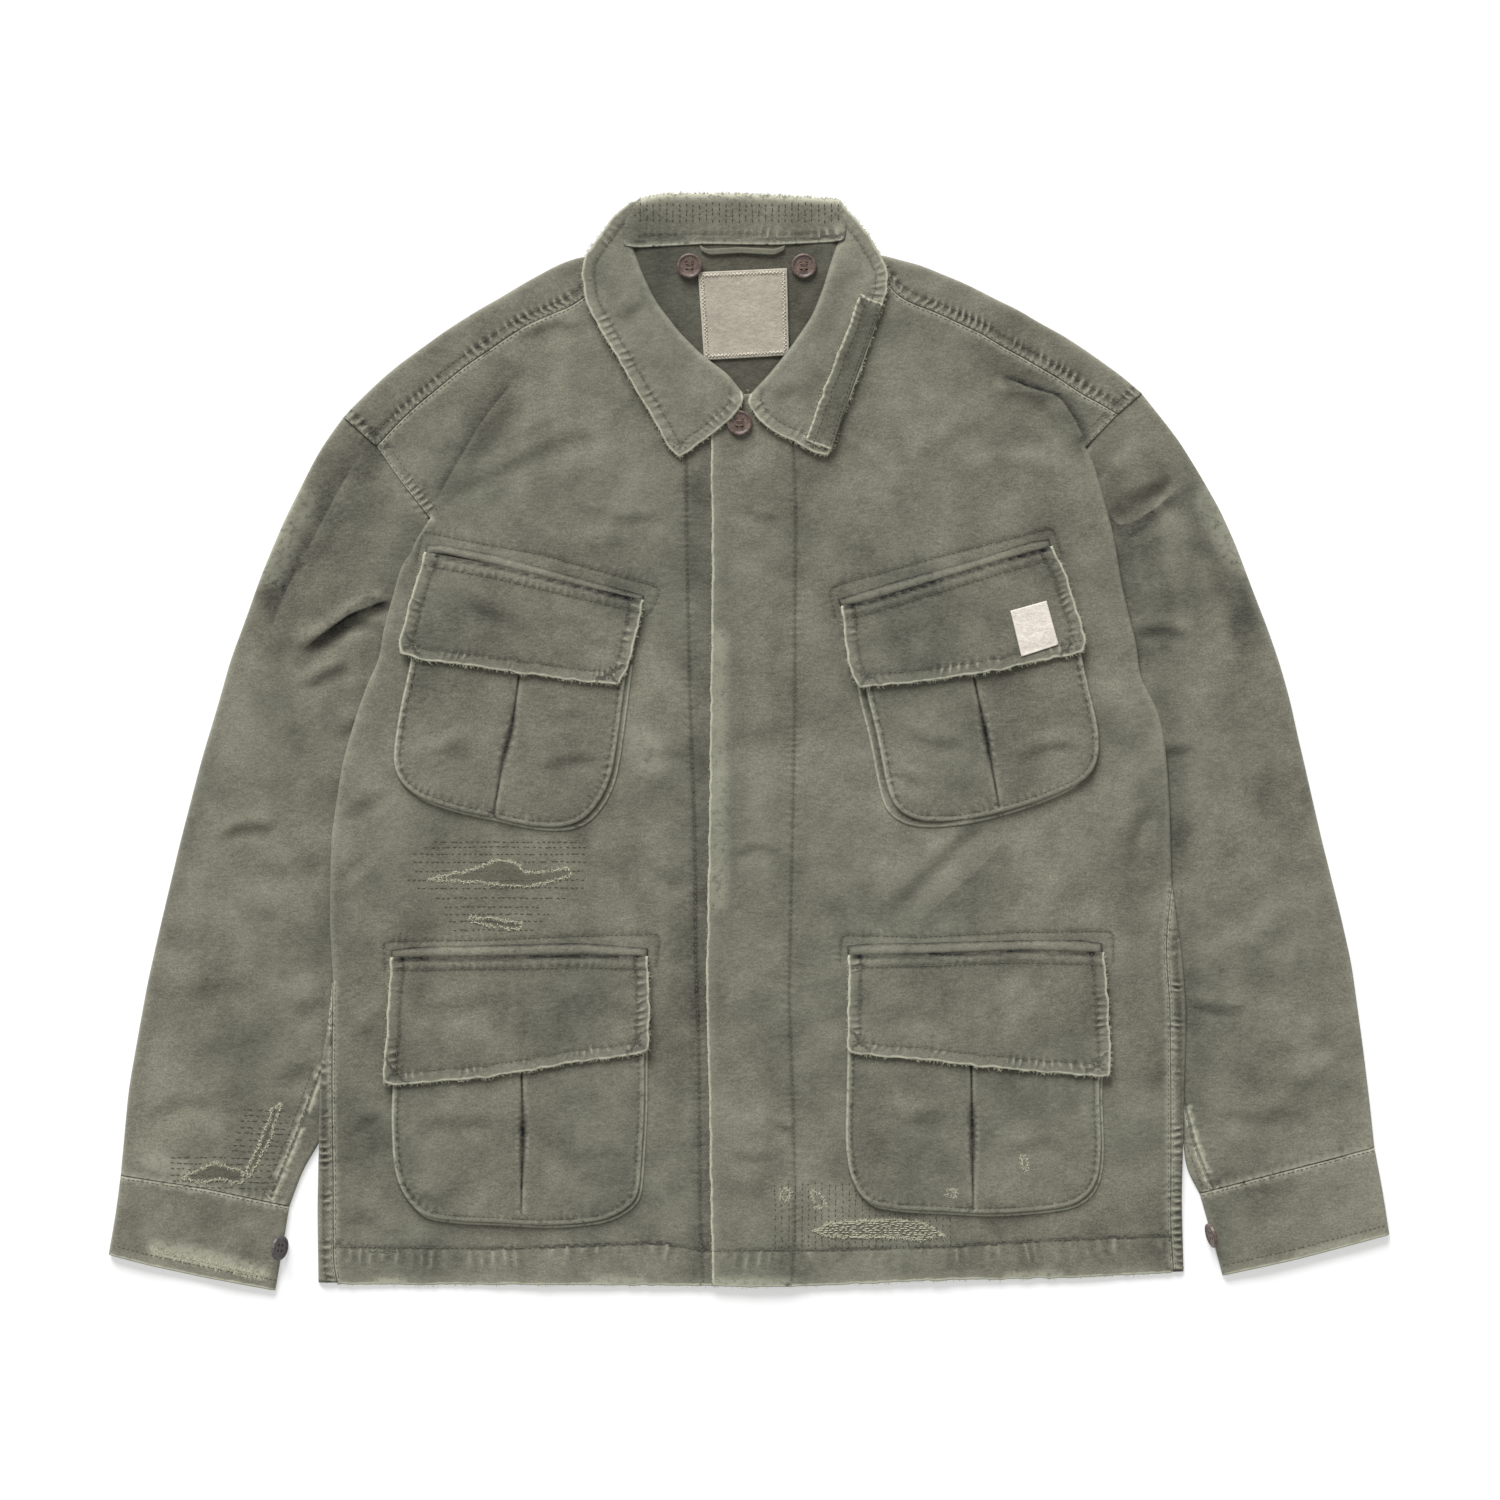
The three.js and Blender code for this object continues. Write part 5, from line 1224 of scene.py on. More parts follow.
def pocket_pieces(name, shape):
    side = name.split("_")[1]
    front_name = f"front_{side}_cloth"

    def declare(piece, cloth, node, rests_on):
        declare_cut(cloth, rests_on=[rests_on])
        return place_piece(piece, node)

    # Gusset: the bellows' lower fold shows beside the body
    shift = np.array(shape["gusset"])
    moved = [tuple(np.array(p) + shift) for p in shape["body"]["edge"]]
    outline = Outline([("hidden", [moved[-1], moved[0]]), ("fold", moved)], seed=5)
    gusset = Cloth(outline, 3.4)
    ground = surface_under(side, gusset.places)
    gusset.height = ground + 0.3 * MM + 1.3 * MM * np.sqrt(1 - (1 - np.clip(gusset.fold / 2.5, 0, 1)) ** 2)
    gusset.wear += 0.9 * np.exp(-(((gusset.fold - 0.9) / 0.8) ** 2))
    gusset.shade += 1.0 * ease(gusset.fold, 1.8, 3.4)
    piece = gusset.shell(f"gusset_{name}", 0.6, cloth_material)
    declare(piece, gusset, None, front_name)

    # Body: a shallow tray with a piped edge and a pleat
    outline = Outline([("hidden", shape["body"]["top"]), ("fold", shape["body"]["edge"])], seed=7)
    body = Cloth(outline, 2.6, seams=[shape["pleat"]])
    inset = [outline.inset(path, 4.2) for path in outline.of("fold")]
    level = sample(surface_of(f"pocket_{name}", 4.0), body.places) + 0.5 * MM
    level += crease_height(body.places, shape["creases"]) + sample(ripple(31, 22, 0.22), body.places)
    ground = surface_under(side, body.places) + 1.4 * MM
    level = np.maximum(level, ground + 0.6 * MM)
    body.height = rounded(body.fold, level, ground, 2.2)
    body.height += 0.55 * MM * np.exp(-(((body.fold - 1.9) / 1.2) ** 2))
    body.height -= 0.35 * MM * np.exp(-(((body.fold - 4.4) / 1.0) ** 2))
    pleat, down = nearest_of(body.places, [path_of(shape["pleat"])])
    span = down / max(down.max(), 1)
    opening = 0.8 + PLEAT_OPENING * np.exp(-(((span - 0.5) / 0.24) ** 2))
    body.height -= 1.5 * MM * np.exp(-((pleat / (opening + 0.4)) ** 2))
    body.height += 0.35 * MM * np.exp(-(((pleat - opening - 1.6) / 1.2) ** 2))
    body.shade += POCKET_SHADE
    body.shade += 1.1 * np.exp(-((pleat / opening) ** 4)) * (1 - ease(span, 0.8, 1.0) * 0.5) + 0.45 * np.exp(-((body.fold / 0.7) ** 2))
    body.shade += 0.55 * np.exp(-(((body.fold - 3.4) / 1.2) ** 2))
    body.wear += 0.3 * np.exp(-(((pleat - opening - 1.0) / 0.9) ** 2)) + 1.2 * np.exp(-(((body.fold - 1.3) / 0.8) ** 2))
    gap, along = nearest_of(body.places, inset)
    closer = gap < body.seam
    body.along = np.where(closer, along, body.along)
    body.seam = np.minimum(gap + 0.4, body.seam)
    body.pucker = 0.7 * np.exp(-((gap / 3.0) ** 2))
    piece = body.shell(f"pocket_{name}_cloth", 1.0, cloth_material)
    declare(piece, body, f"pocket_{name}", front_name)

    # Flap
    flap = shape["flap"]
    outline = Outline([("hidden", flap["top"]), ("worn", flap["left"]), ("worn", flap["bottom"]),
                       ("worn", flap["right"])], fray=0.55, seed=13, reach=4)
    cloth = Cloth(outline, 2.4)
    rows = [outline.inset(path, 8.6) for path in outline.of("worn")]
    near_row, along = nearest_of(cloth.places, rows)
    depth, _ = nearest_of(cloth.places, outline.of("worn"))
    on_row = np.abs(depth - 8.6)
    cloth.seam, cloth.along = on_row, along
    cloth.pucker = 1.2 * np.exp(-(((depth - 6.0) / 4.0) ** 2)) * (depth < 14)
    level = sample(surface_of(f"flap_{name}", 5.0), cloth.places) + 1.0 * MM
    level += crease_height(cloth.places, shape["flap_creases"]) + sample(ripple(41, 24, 0.25), cloth.places)
    cloth.height = level + 0.45 * MM * ease(8.6 - depth, -1.0, 2.0)
    cloth.height -= 0.4 * MM * np.exp(-((on_row / 1.4) ** 2))
    head, head_along = nearest_of(cloth.places, outline.of("hidden"))
    cloth.shade += FLAP_SHADE + 1.3 * (1 - ease(head, 1.5, 4.0)) + 0.5 * np.exp(-(((head - 9.0) / 0.8) ** 2))
    cloth.height += 0.9 * MM * np.exp(-(((head - 6.3) / 2.0) ** 2))
    upper = (head < 14) & (depth > 10)
    cloth.pucker = np.where(upper, 0.7 * np.exp(-(((head - 8.0) / 3.0) ** 2)), cloth.pucker)
    cloth.along = np.where(upper, head_along, cloth.along)
    rows.append(outline.inset(outline.of("hidden")[0], 9.0))
    piece = cloth.shell(f"flap_{name}_cloth", CLOTH, cloth_material)
    declare(piece, cloth, f"flap_{name}", f"pocket_{name}_cloth")

    # Welt
    top, bottom = shape["welt"]
    outline = Outline([("fold", top), ("fold", [top[-1], bottom[0]]), ("fold", bottom),
                       ("fold", [bottom[-1], top[0]])], step=1.8, seed=3, reach=3)
    roll = Cloth(outline, 1.8)
    ground = surface_under(side, roll.places)
    t = np.clip(roll.fold / 4.0, 0, 1)
    roll.height = ground + 0.4 * MM + 2.7 * MM * np.sqrt(1 - (1 - t) ** 2)
    roll.wear += 0.12 * ease(roll.fold, 1.8, 3.2)
    roll.shade += POCKET_SHADE
    roll.shade += 1.5 * (1 - ease(roll.fold, 0.3, 1.7))
    piece = roll.shell(f"welt_{name}_cloth", 0.5, cloth_material)
    declare(piece, roll, f"welt_{name}", front_name)
    return {"flap": cloth, "body": body, "rows": rows, "piece_rows": inset}


pocket_cloth = {name: pocket_pieces(name, shape) for name, shape in POCKETS.items()}


# Collar: two leaves that roll over, and the inside of the stand at the back


COLLAR_LEAVES = {
    "right": {
        "silhouette": [(639, 198), (620, 210), (608, 223), (596, 240), (585, 255), (582, 271), (583, 285), (585, 301),
                       (601, 331), (620, 362), (639, 396), (656, 424), (668, 448), (679, 458)],
        "front": [(679, 458), (714, 434), (740, 410), (744, 400), (742, 392)],
        "roll": [(742, 392), (728, 374), (702, 355), (680, 333), (656, 302), (642, 273), (632, 244), (629, 235)],
        "side": [(629, 235), (631, 218), (639, 198)],
        "neck": [(744, 396), (718, 392), (687, 371), (661, 347), (635, 316), (618, 290), (611, 272), (616, 258), (629, 244)],
    },
    "left": {
        "silhouette": [(839, 199), (860, 223), (870, 237), (879, 253), (888, 268), (889, 283), (884, 301), (872, 338),
                       (858, 379), (841, 420), (832, 450), (828, 456)],
        "front": [(828, 456), (814, 453), (800, 445), (776, 433), (759, 421), (747, 404), (750, 394)],
        "roll": [(750, 394), (769, 374), (790, 348), (812, 316), (823, 288), (831, 261), (838, 240)],
        "side": [(838, 240), (842, 218), (839, 199)],
        "neck": [(752, 396), (761, 394), (788, 379), (812, 354), (832, 324), (850, 294), (857, 272), (852, 258), (842, 244)],
    },
}
COLLAR_BAND = {
    "top": [(639, 198), (663, 193), (740, 193), (800, 196), (839, 199)],
    "right": [(839, 199), (848, 220), (844, 240)],
    "seam": [(844, 240), (836, 242), (776, 245), (704, 244), (632, 248), (624, 246)],
    "left": [(624, 246), (622, 230), (628, 214), (639, 198)],
}
COLLAR_CREASES = {
    "right": [("fold", 9, 0.7, [(600, 250), (620, 300), (650, 350)]), ("ridge", 10, 0.6, [(640, 330), (690, 390), (700, 420)]),
              ("fold", 7, 0.5, [(612, 320), (650, 300)])],
    "left": [("fold", 9, 0.7, [(870, 260), (850, 310), (820, 370)]), ("ridge", 10, 0.6, [(830, 330), (790, 400)]),
             ("fold", 7, 0.5, [(770, 400), (800, 385)])],
}
collar_top = surface_of("collar", 4.0)


def collar_leaf(name, shape):
    worn = [("worn", shape["silhouette"]), ("worn", shape["front"])]
    outline = Outline(worn + [("fold", shape["roll"]), ("hidden", shape["side"])], fray=0.4, seed=17, reach=4)
    cloth = Cloth(outline, 2.2)
    rows = [outline.inset(path, 8.4) for path in outline.of("worn")]
    depth = nearest_of(cloth.places, outline.of("worn"))[0]
    along = nearest_of(cloth.places, rows)[1]
    cloth.seam, cloth.along = np.abs(depth - 8.4), along
    cloth.pucker = 1.3 * np.exp(-(((depth - 6.0) / 4.2) ** 2)) * (depth < 14)
    level = sample(collar_top, cloth.places) + 0.8 * MM + crease_height(cloth.places, COLLAR_CREASES[name])
    level += sample(ripple(51, 20, 0.2), cloth.places)
    middle = level - 2.6 * MM
    height = rounded(cloth.fold, level, middle, 3.4)
    height += 0.5 * MM * ease(8.4 - depth, -1.0, 2.0) * ease(cloth.fold, 2, 6)
    height -= 0.4 * MM * np.exp(-((cloth.seam / 1.4) ** 2)) * ease(cloth.fold, 2, 6)
    side_gap = nearest_of(cloth.places, outline.of("hidden"))[0]
    cloth.height = height - 1.3 * MM * (1 - ease(side_gap, 0, 9))
    cloth.wear += 0.22 * np.exp(-(((cloth.fold - 1.5) / 2.0) ** 2))
    cloth.shade += LEAF_SHADE
    piece = cloth.shell(f"collar_leaf_{name}", CLOTH, cloth_material)
    declare_cut(cloth)
    place_piece(piece, None)

    # The stand under the leaf, from its roll down to the neck seam
    roll = resample(smooth_line(line(shape["roll"]), 4 * MM, 4), 4 * MM)
    neck = resample(smooth_line(line(shape["neck"]), 4 * MM, 4), 4 * MM)
    count = 60
    roll = resample(roll, lengths_along(roll)[-1] / (count - 1))[:count]
    neck = resample(neck, lengths_along(neck)[-1] / (count - 1))[:count]
    top_z = sample(collar_top, roll) - 2.0 * MM
    foot_z = np.minimum(sample(collar_top, neck) - 2.4 * MM, top_z - 0.5 * MM)
    rows_points = []
    for k in range(5):
        t = k / 4
        plan = roll * (1 - t) + neck * t
        rows_points.append(np.column_stack([plan, top_z * (1 - t) + foot_z * t]))
    vertices = np.vstack(rows_points)
    faces = [(r * count + i, r * count + i + 1, (r + 1) * count + i + 1, (r + 1) * count + i)
             for r in range(4) for i in range(count - 1)]
    stand = new_piece(f"collar_stand_{name}", vertices, faces, inside_material)
    for key, value in (("edge", 99), ("seam", 99), ("along", 0), ("pucker", 0), ("wear", 0), ("shade", 0.3)):
        store(stand.data, key, np.full(len(vertices), value))
    wall = stand.modifiers.new("wall", "SOLIDIFY")
    wall.thickness = 1.0 * MM
    place_piece(stand, None)
    return piece, cloth, rows


def collar_band():
    shape = COLLAR_BAND
    outline = Outline([("fold", shape["top"]), ("hidden", shape["right"]), ("seam", shape["seam"]),
                       ("hidden", shape["left"])], seed=19, reach=4)
    cloth = Cloth(outline, 2.0, seams=[[(640, 236), (704, 233), (776, 234), (836, 232)]])
    level = np.maximum(sample(collar_top, cloth.places), 3.0 * MM) - 0.2 * MM
    level += sample(ripple(61, 16, 0.18), cloth.places)
    top_gap = nearest_of(cloth.places, [outline.lines[0][1]])[0]
    seam_gap = nearest_of(cloth.places, outline.of("seam"))[0]
    level += BAND_STEP * MM * (1 - ease(seam_gap, 3, 12))
    cloth.height = rounded(cloth.fold, level, np.full(len(level), 1.5 * MM), 3.0)
    cloth.groove()
    cloth.wear += 1.2 * np.exp(-(((seam_gap - 1.2) / 0.9) ** 2))
    cloth.shade += 0.9 * np.exp(-((seam_gap / 0.6) ** 2))
    cloth.wear += 1.3 * np.exp(-((top_gap / 3.8) ** 2))
    cloth.shade += 0.35 * ease(top_gap, 14, 34)
    floor = rounded(cloth.fold, np.zeros(len(level)), np.full(len(level), 1.5 * MM), 3.0)
    count = len(cloth.places)
    vertices = np.vstack([np.column_stack([cloth.places, cloth.height]), np.column_stack([cloth.places, floor])])
    rim = [(a, a + count, b + count, b) for a, b in boundary_of(cloth.triangles)]
    faces = cloth.triangles.tolist() + (cloth.triangles[:, ::-1] + count).tolist() + rim
    piece = new_piece("collar_back", vertices, faces, cloth_material)
    cloth.finish_mesh(piece.data, 2)
    declare_cut(cloth)
    return place_piece(piece, "collar"), cloth


collar_leaves = {name: collar_leaf(name, shape) for name, shape in COLLAR_LEAVES.items()}
collar_back, collar_back_cloth = collar_band()


# Labels, tape and loop


NECK_LABEL = [(698, 272), (787, 268), (789, 355), (704, 360)]
CHEST_LABEL = [(1010, 611), (1046, 601), (1058, 645), (1021, 657)]
COLLAR_TAPE = {
    "ends": ([(860, 294), (883, 304)], [(832, 450), (805, 441)]),
    "sides": ([(883, 304), (866, 350), (847, 402), (832, 450)], [(805, 441), (826, 384), (843, 340), (860, 294)]),
}
HANGER_LOOP = {
    "top": [(700, 245), (706, 249), (740, 247), (776, 249), (785, 245)],
    "bottom": [(784, 250), (775, 255), (740, 253), (708, 255), (701, 250)],
}
LABEL_ZIGZAG = {"inset": 2.6, "half_width": 1.1, "pitch": 1.3}


def laid_piece(name, node, outline, level, material, thickness, rests_on, puckers=0.1):
    """A small piece that lies on the cloth below it, at a height that level gives for its points."""
    cloth = Cloth(outline, 2.0)
    cloth.height = level(cloth.places) + sample(ripple(71, 14, 0.12), cloth.places)
    cloth.pucker = puckers * np.exp(-((cloth.edge / 4) ** 2))
    cloth.along = nearest_of(cloth.places, outline.of("worn"))[1]
    piece = cloth.shell(name, thickness, material)
    declare_cut(cloth, rests_on=[rests_on])
    place_piece(piece, node)
    return cloth


def closed_sides(corners, kind="worn"):
    return [(kind, [start, end]) for start, end in zip(corners, corners[1:] + corners[:1])]


def top_level(node, lift):
    grid = surface_of(node, 4.0)
    return lambda points: sample(grid, points) + lift * MM


neck_label = laid_piece(
    "neck_label_cloth", "neck_label", Outline(closed_sides(NECK_LABEL), step=1.6, reach=2.5),
    top_level("neck_label", 0.1), label_material, 0.6, "back_cloth",
)
chest_label = laid_piece(
    "chest_label_cloth", "chest_label", Outline(closed_sides(CHEST_LABEL), step=1.6, reach=1.5),
    lambda points: np.maximum(pocket_cloth["chest_left"]["flap"].drop(points) + 0.6 * MM,
                              top_level("chest_label", 0.1)(points)),
    ecru_material, 0.5, "flap_chest_left_cloth",
)
tape_ends, tape_sides = COLLAR_TAPE["ends"], COLLAR_TAPE["sides"]
leaf_left = collar_leaves["left"][1]
collar_tape = laid_piece(
    "collar_tape_cloth", "collar_tape",
    Outline([("worn", tape_ends[0]), ("fold", tape_sides[0]), ("worn", tape_ends[1]), ("worn", tape_sides[1])],
            fray=0.5, seed=23, reach=2),
    lambda points: np.maximum(leaf_left.drop(points) + 0.9 * MM, top_level("collar_tape", 0.2)(points)),
    tape_material, 0.8, "collar_leaf_left", 1.2,
)
laid_piece(
    "hanger_loop_cloth", "hanger_loop",
    Outline([("worn", HANGER_LOOP["top"]), ("worn", [HANGER_LOOP["top"][-1], HANGER_LOOP["bottom"][0]]),
             ("worn", HANGER_LOOP["bottom"]), ("worn", [HANGER_LOOP["bottom"][-1], HANGER_LOOP["top"][0]])],
            step=1.6, reach=2),
    top_level("hanger_loop", 0.3), inside_material, 0.7, "back_cloth",
)


# Buttons

BUTTONS = [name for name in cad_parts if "button" in name]
for name in BUTTONS:
    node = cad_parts[name]
    node.data.materials.clear()
    node.data.materials.append(dark_button_material if name == "cuff_button_right" else button_material)


BUTTON_HOLES = 2.1  # half the distance between two holes


# Thread: rows of stitches that dip into the cloth at both ends


def stitches(name, rows, drop, material, length=STITCH, pitch=STITCH_PITCH, width=THREAD, seed=1, uneven=0.1):
    """One bowed thread for each stitch: four stations of three points, open below."""
    noise = np.random.default_rng(seed)
    stations = np.array([0.0, 0.2, 0.8, 1.0])
    lifts = np.array([-0.3, 0.55, 0.55, -0.3]) * width * MM
    plan, sides, rise = [], [], []
    for row in rows:
        along = lengths_along(row)
        starts = np.arange(0.3 * pitch, along[-1] / MM - length, pitch)
        starts = starts + noise.normal(size=len(starts)) * uneven * pitch
        sizes = length * (1 + noise.normal(size=len(starts)) * uneven)
        for start, size in zip(starts, sizes):
            places = np.clip((start + stations * size) * MM, 0, along[-1])
            line_points = np.column_stack([np.interp(places, along, row[:, k]) for k in (0, 1)])
            direction = line_points[-1] - line_points[0]
            direction /= max(np.linalg.norm(direction), 1e-9)
            left = np.array([-direction[1], direction[0]])
            line_points = line_points + left * noise.normal() * uneven * 0.8 * MM
            plan.append(line_points)
            sides.append(np.tile(left, (4, 1)))
            rise.append(lifts)
    if not plan:
        return None
    plan, sides, rise = np.vstack(plan), np.vstack(sides), np.concatenate(rise)
    level = drop(plan) + rise
    half = 0.5 * width * MM * np.tile([0.5, 1.0, 1.0, 0.5], len(plan) // 4)
    left = np.column_stack([plan + sides * half[:, None], level])
    right = np.column_stack([plan - sides * half[:, None], level])
    crown = np.column_stack([plan, level + 0.9 * half])
    vertices = np.stack([left, crown, right], axis=1).reshape(-1, 3)
    faces = []
    for stitch in range(len(plan) // 4):
        for span in range(3):
            a = 12 * stitch + 3 * span
            faces += [(a, a + 1, a + 4, a + 3), (a + 1, a + 2, a + 5, a + 4)]
    piece = new_piece(name, vertices, [face[::-1] for face in faces], material)
    return place_piece(piece)


def fringe(name, edges, drop, material, per_mm=0.7, reach=(0.8, 2.6), width=0.34, seed=1, spread=0.9):
    """Loose yarn ends along worn edges. They stand off the left of each path, leaning either way."""
    noise = np.random.default_rng(seed)
    roots, tips = [], []
    for edge in edges:
        along = lengths_along(edge)
        count = int(along[-1] / MM * per_mm)
        if count < 2:
            continue
        places = np.sort(noise.uniform(0, along[-1], count))
        thick = np.convolve(noise.uniform(0, 1, count), np.ones(5) / 5, "same")
        starts = np.column_stack([np.interp(places, along, edge[:, k]) for k in (0, 1)])
        ahead = np.column_stack([np.interp(places + 1 * MM, along, edge[:, k]) for k in (0, 1)]) - starts
        angle = np.arctan2(ahead[:, 1], ahead[:, 0]) + math.pi / 2 + noise.normal(size=count) * spread
        size = noise.uniform(*reach, count) * (0.4 + 1.2 * thick) * MM
        roots.append(starts)
        tips.append(starts + np.column_stack([np.cos(angle), np.sin(angle)]) * size[:, None])
    roots, tips = np.vstack(roots), np.vstack(tips)
    middle = 0.5 * (roots + tips) + noise.normal(size=roots.shape) * 0.3 * MM
    base = drop(roots)
    heights = [base - 0.3 * MM, base + 0.1 * MM, base + noise.uniform(-0.6, 0.2, len(base)) * MM]
    direction = tips - roots
    direction /= np.maximum(np.linalg.norm(direction, axis=1)[:, None], 1e-9)
    side = np.column_stack([-direction[:, 1], direction[:, 0]]) * width / 2 * MM
    rings = []
    for place, height, share in zip((roots, middle, tips), heights, (1.0, 0.8, 0.4)):
        rings.append(np.column_stack([place + side * share, height]))
        rings.append(np.column_stack([place, height + 0.25 * MM * share]))
        rings.append(np.column_stack([place - side * share, height]))
    vertices = np.stack(rings, axis=1).reshape(-1, 3)
    faces = []
    for k in range(len(roots)):
        for span in range(2):
            a = 9 * k + 3 * span
            faces += [(a, a + 1, a + 4, a + 3), (a + 1, a + 2, a + 5, a + 4)]
    return place_piece(new_piece(name, vertices, [face[::-1] for face in faces], material))


def beside(path, *distances):
    return [offset_line(path, distance) for distance in distances]


front_drops = {"right": front_right.drop, "left": front_left.drop}
for side, cloth in (("right", front_right), ("left", front_left)):
    rows = [path_of(HEM_STITCH[side])]
    rows += [path_of(POCKETS[f"{place}_{side}"]["box"], 2) for place in ("chest", "lower")]
    rows.append(path_of(FACING_STITCH if side == "right" else PLACKET_STITCH))
    for path in cloth.outline.of("seam"):
        rows.append(cloth.outline.inset(path, 1.6))
    rows.append(offset_line(path_of(ARMHOLE_BANDS[side]), -7.5))
    stitches(f"topstitch_front_{side}", rows, cloth.drop, thread_olive, seed=2)
for name, made in pocket_cloth.items():
    stitches(f"topstitch_flap_{name}", made["rows"], made["flap"].drop, thread_olive, seed=3)
    stitches(f"topstitch_pocket_{name}", made["piece_rows"], made["body"].drop, thread_olive, seed=4)
for name, (_, cloth, rows) in collar_leaves.items():
    stitches(f"topstitch_collar_{name}", rows, cloth.drop, thread_olive, seed=5)
for name, cloth in strips.items():
    rows = [cloth.outline.inset(path, distance) for path in cloth.outline.of("seam") for distance in (1.4, 7.0)]
    stitches(f"topstitch_{name}", rows, cloth.drop, thread_olive, seed=6)
for name, cloth in sleeve_cloth.items():
    rows = [offset_line(path_of(path), distance) for path in SLEEVES[name]["seams"] for distance in (-6.0, -1.2)]
    stitches(f"topstitch_sleeve_{name}", rows, cloth.drop, thread_olive, seed=9)
for name, cloth in cuff_cloth.items():
    rows = [cloth.outline.inset(path, 1.6) for path in cloth.outline.of("seam")]
    rows += [cloth.outline.inset(path, 7.5) for path in cloth.outline.of("open")]
    stitches(f"topstitch_cuff_{name}", rows, cloth.drop, thread_olive, seed=7)

# Zigzag round the neck label, plain stitches on the collar tape, and thread through the buttons
zigzag = []
for path in neck_label.outline.of("worn"):
    middle = resample(neck_label.outline.inset(path, LABEL_ZIGZAG["inset"]), LABEL_ZIGZAG["pitch"] * MM)[2:-2]
    swing = np.where(np.arange(len(middle)) % 2, 1, -1) * LABEL_ZIGZAG["half_width"]
    zigzag.append(middle + (offset_line(middle, 1) - middle) * swing[:, None])
stitches("zigzag_neck_label", zigzag, neck_label.drop, thread_cream, length=2.3, pitch=2.4, width=0.85,
         uneven=0.02)
rows = [collar_tape.outline.inset(path, 2.2) for path in collar_tape.outline.of("fold")]
rows += [collar_tape.outline.inset(path, 6.0) for path in collar_tape.outline.of("worn")[2:]]
stitches("topstitch_collar_tape", rows, collar_tape.drop, thread_dark, seed=8)


for name in BUTTONS:
    low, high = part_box(name)
    if high[0] - low[0] < 0.8 * BUTTON_WIDTH * MM:
        continue
    centre = 0.5 * (np.array(low[:2]) + np.array(high[:2]))
    side = BUTTON_HOLES * MM
    rows = [centre + np.array([(-1.3 * side, y), (1.3 * side, y)]) for y in (-0.8 * side, 0.8 * side)]
    level = high[2] - 0.5 * MM
    stitches(f"thread_{name}", rows, lambda points, level=level: np.full(len(points), level), thread_button,
             length=4.6, pitch=0.1, width=0.9, seed=12, uneven=0.0)


# Mends: darning rows, and patched rips with frayed edges


FRONT_DARNING = [
    (431, 580, 842), (423, 588, 847), (412, 586, 854), (412, 586, 862), (412, 588, 871), (405, 588, 880),
    (416, 586, 888), (435, 567, 898), (442, 543, 907), (442, 552, 914), (445, 544, 921), (452, 536, 930),
]
FRONT_RIP = [
    (428, 879), (460, 873), (476, 868), (498, 860), (514, 863), (524, 873), (549, 871), (568, 868), (570, 876),
    (549, 882), (524, 887), (498, 884), (460, 882),
]
FRONT_LOWER_RIP = [(469, 917), (495, 919), (522, 923), (519, 930), (494, 926), (470, 922)]
HEM_DARNING = {"x": (775, 950), "y": (1182, 1252), "columns": 27}
HEM_RIP = [
    (813, 1231), (833, 1223), (866, 1221), (898, 1220), (924, 1224), (945, 1236), (918, 1240), (876, 1237),
    (833, 1238),
]
HEM_SPOTS = [
    [(782, 1189), (790, 1190), (788, 1200), (781, 1198)],
    [(812, 1192), (822, 1196), (826, 1206), (815, 1208)],
    [(947, 1190), (955, 1190), (955, 1197), (948, 1196)],
    [(1021, 1155), (1026, 1158), (1028, 1170), (1023, 1168)],
]
SLEEVE_RIPS = [
    [(281, 1103), (276, 1120), (270, 1140), (259, 1160), (248, 1178), (246, 1170), (258, 1148), (266, 1126),
     (273, 1108)],
    [(181, 1179), (198, 1170), (215, 1163), (230, 1168), (244, 1172), (242, 1184), (222, 1180), (202, 1182)],
]
SLEEVE_DARNING = {
    "x": (168, 290), "y": (1110, 1194), "pitch": 6, "slant": -1, "turn": 1158,
    "rip": ([1103, 1135, 1177, 1194], [279, 269, 248, 262]),
}
COLLAR_DARNING = {"x": (640, 838), "y": (201, 226), "columns": 31}


def rip(name, ring, cloth, material, frayed, seed, strength=0.2):
    """A patch that shows through a rip, with pale yarn ends all round it."""
    outline = Outline(closed_sides(ring), step=1.6, fray=0.5, seed=seed, reach=2)
    patch = Cloth(outline, 2.0)
    patch.height = cloth.drop(patch.places) + 0.25 * MM
    patch.shade += strength
    piece = patch.shell(name, 0.3, material)
    declare_cut(patch, rests_on=[cloth_name(cloth)])
    place_piece(piece)
    inward = outline.turn
    edges = [path if inward > 0 else path[::-1] for path in outline.of("worn")]
    reversed_edges = [path[::-1] for path in edges]
    fringe(f"{name}_frays", edges + reversed_edges, patch.drop, frayed, per_mm=1.8, reach=(0.8, 2.4), width=0.5, seed=seed)
    stitches(f"{name}_whipping", edges, patch.drop, frayed, length=1.5, pitch=2.2, width=0.7, seed=seed, uneven=0.4)
    return patch


def cloth_name(cloth):
    names = {id(front_right): "front_right_cloth", id(front_left): "front_left_cloth",
             id(sleeve_cloth["right"]): "sleeve_right_cloth"}
    return names[id(cloth)]


def uneven_rows(rows, seed, amount=0.5):
    """Hand-sewn rows: straight in plan but for a slow drift to either side."""
    noise = np.random.default_rng(seed)
    drifting = []
    for start, end in rows:
        path = resample(line([start, end]), 6 * MM)
        drift = np.convolve(noise.normal(size=len(path) + 4), np.ones(5) / 5, "valid") * amount
        drifting.append(path + (offset_line(path, 1) - path) * drift[:, None])
    return drifting


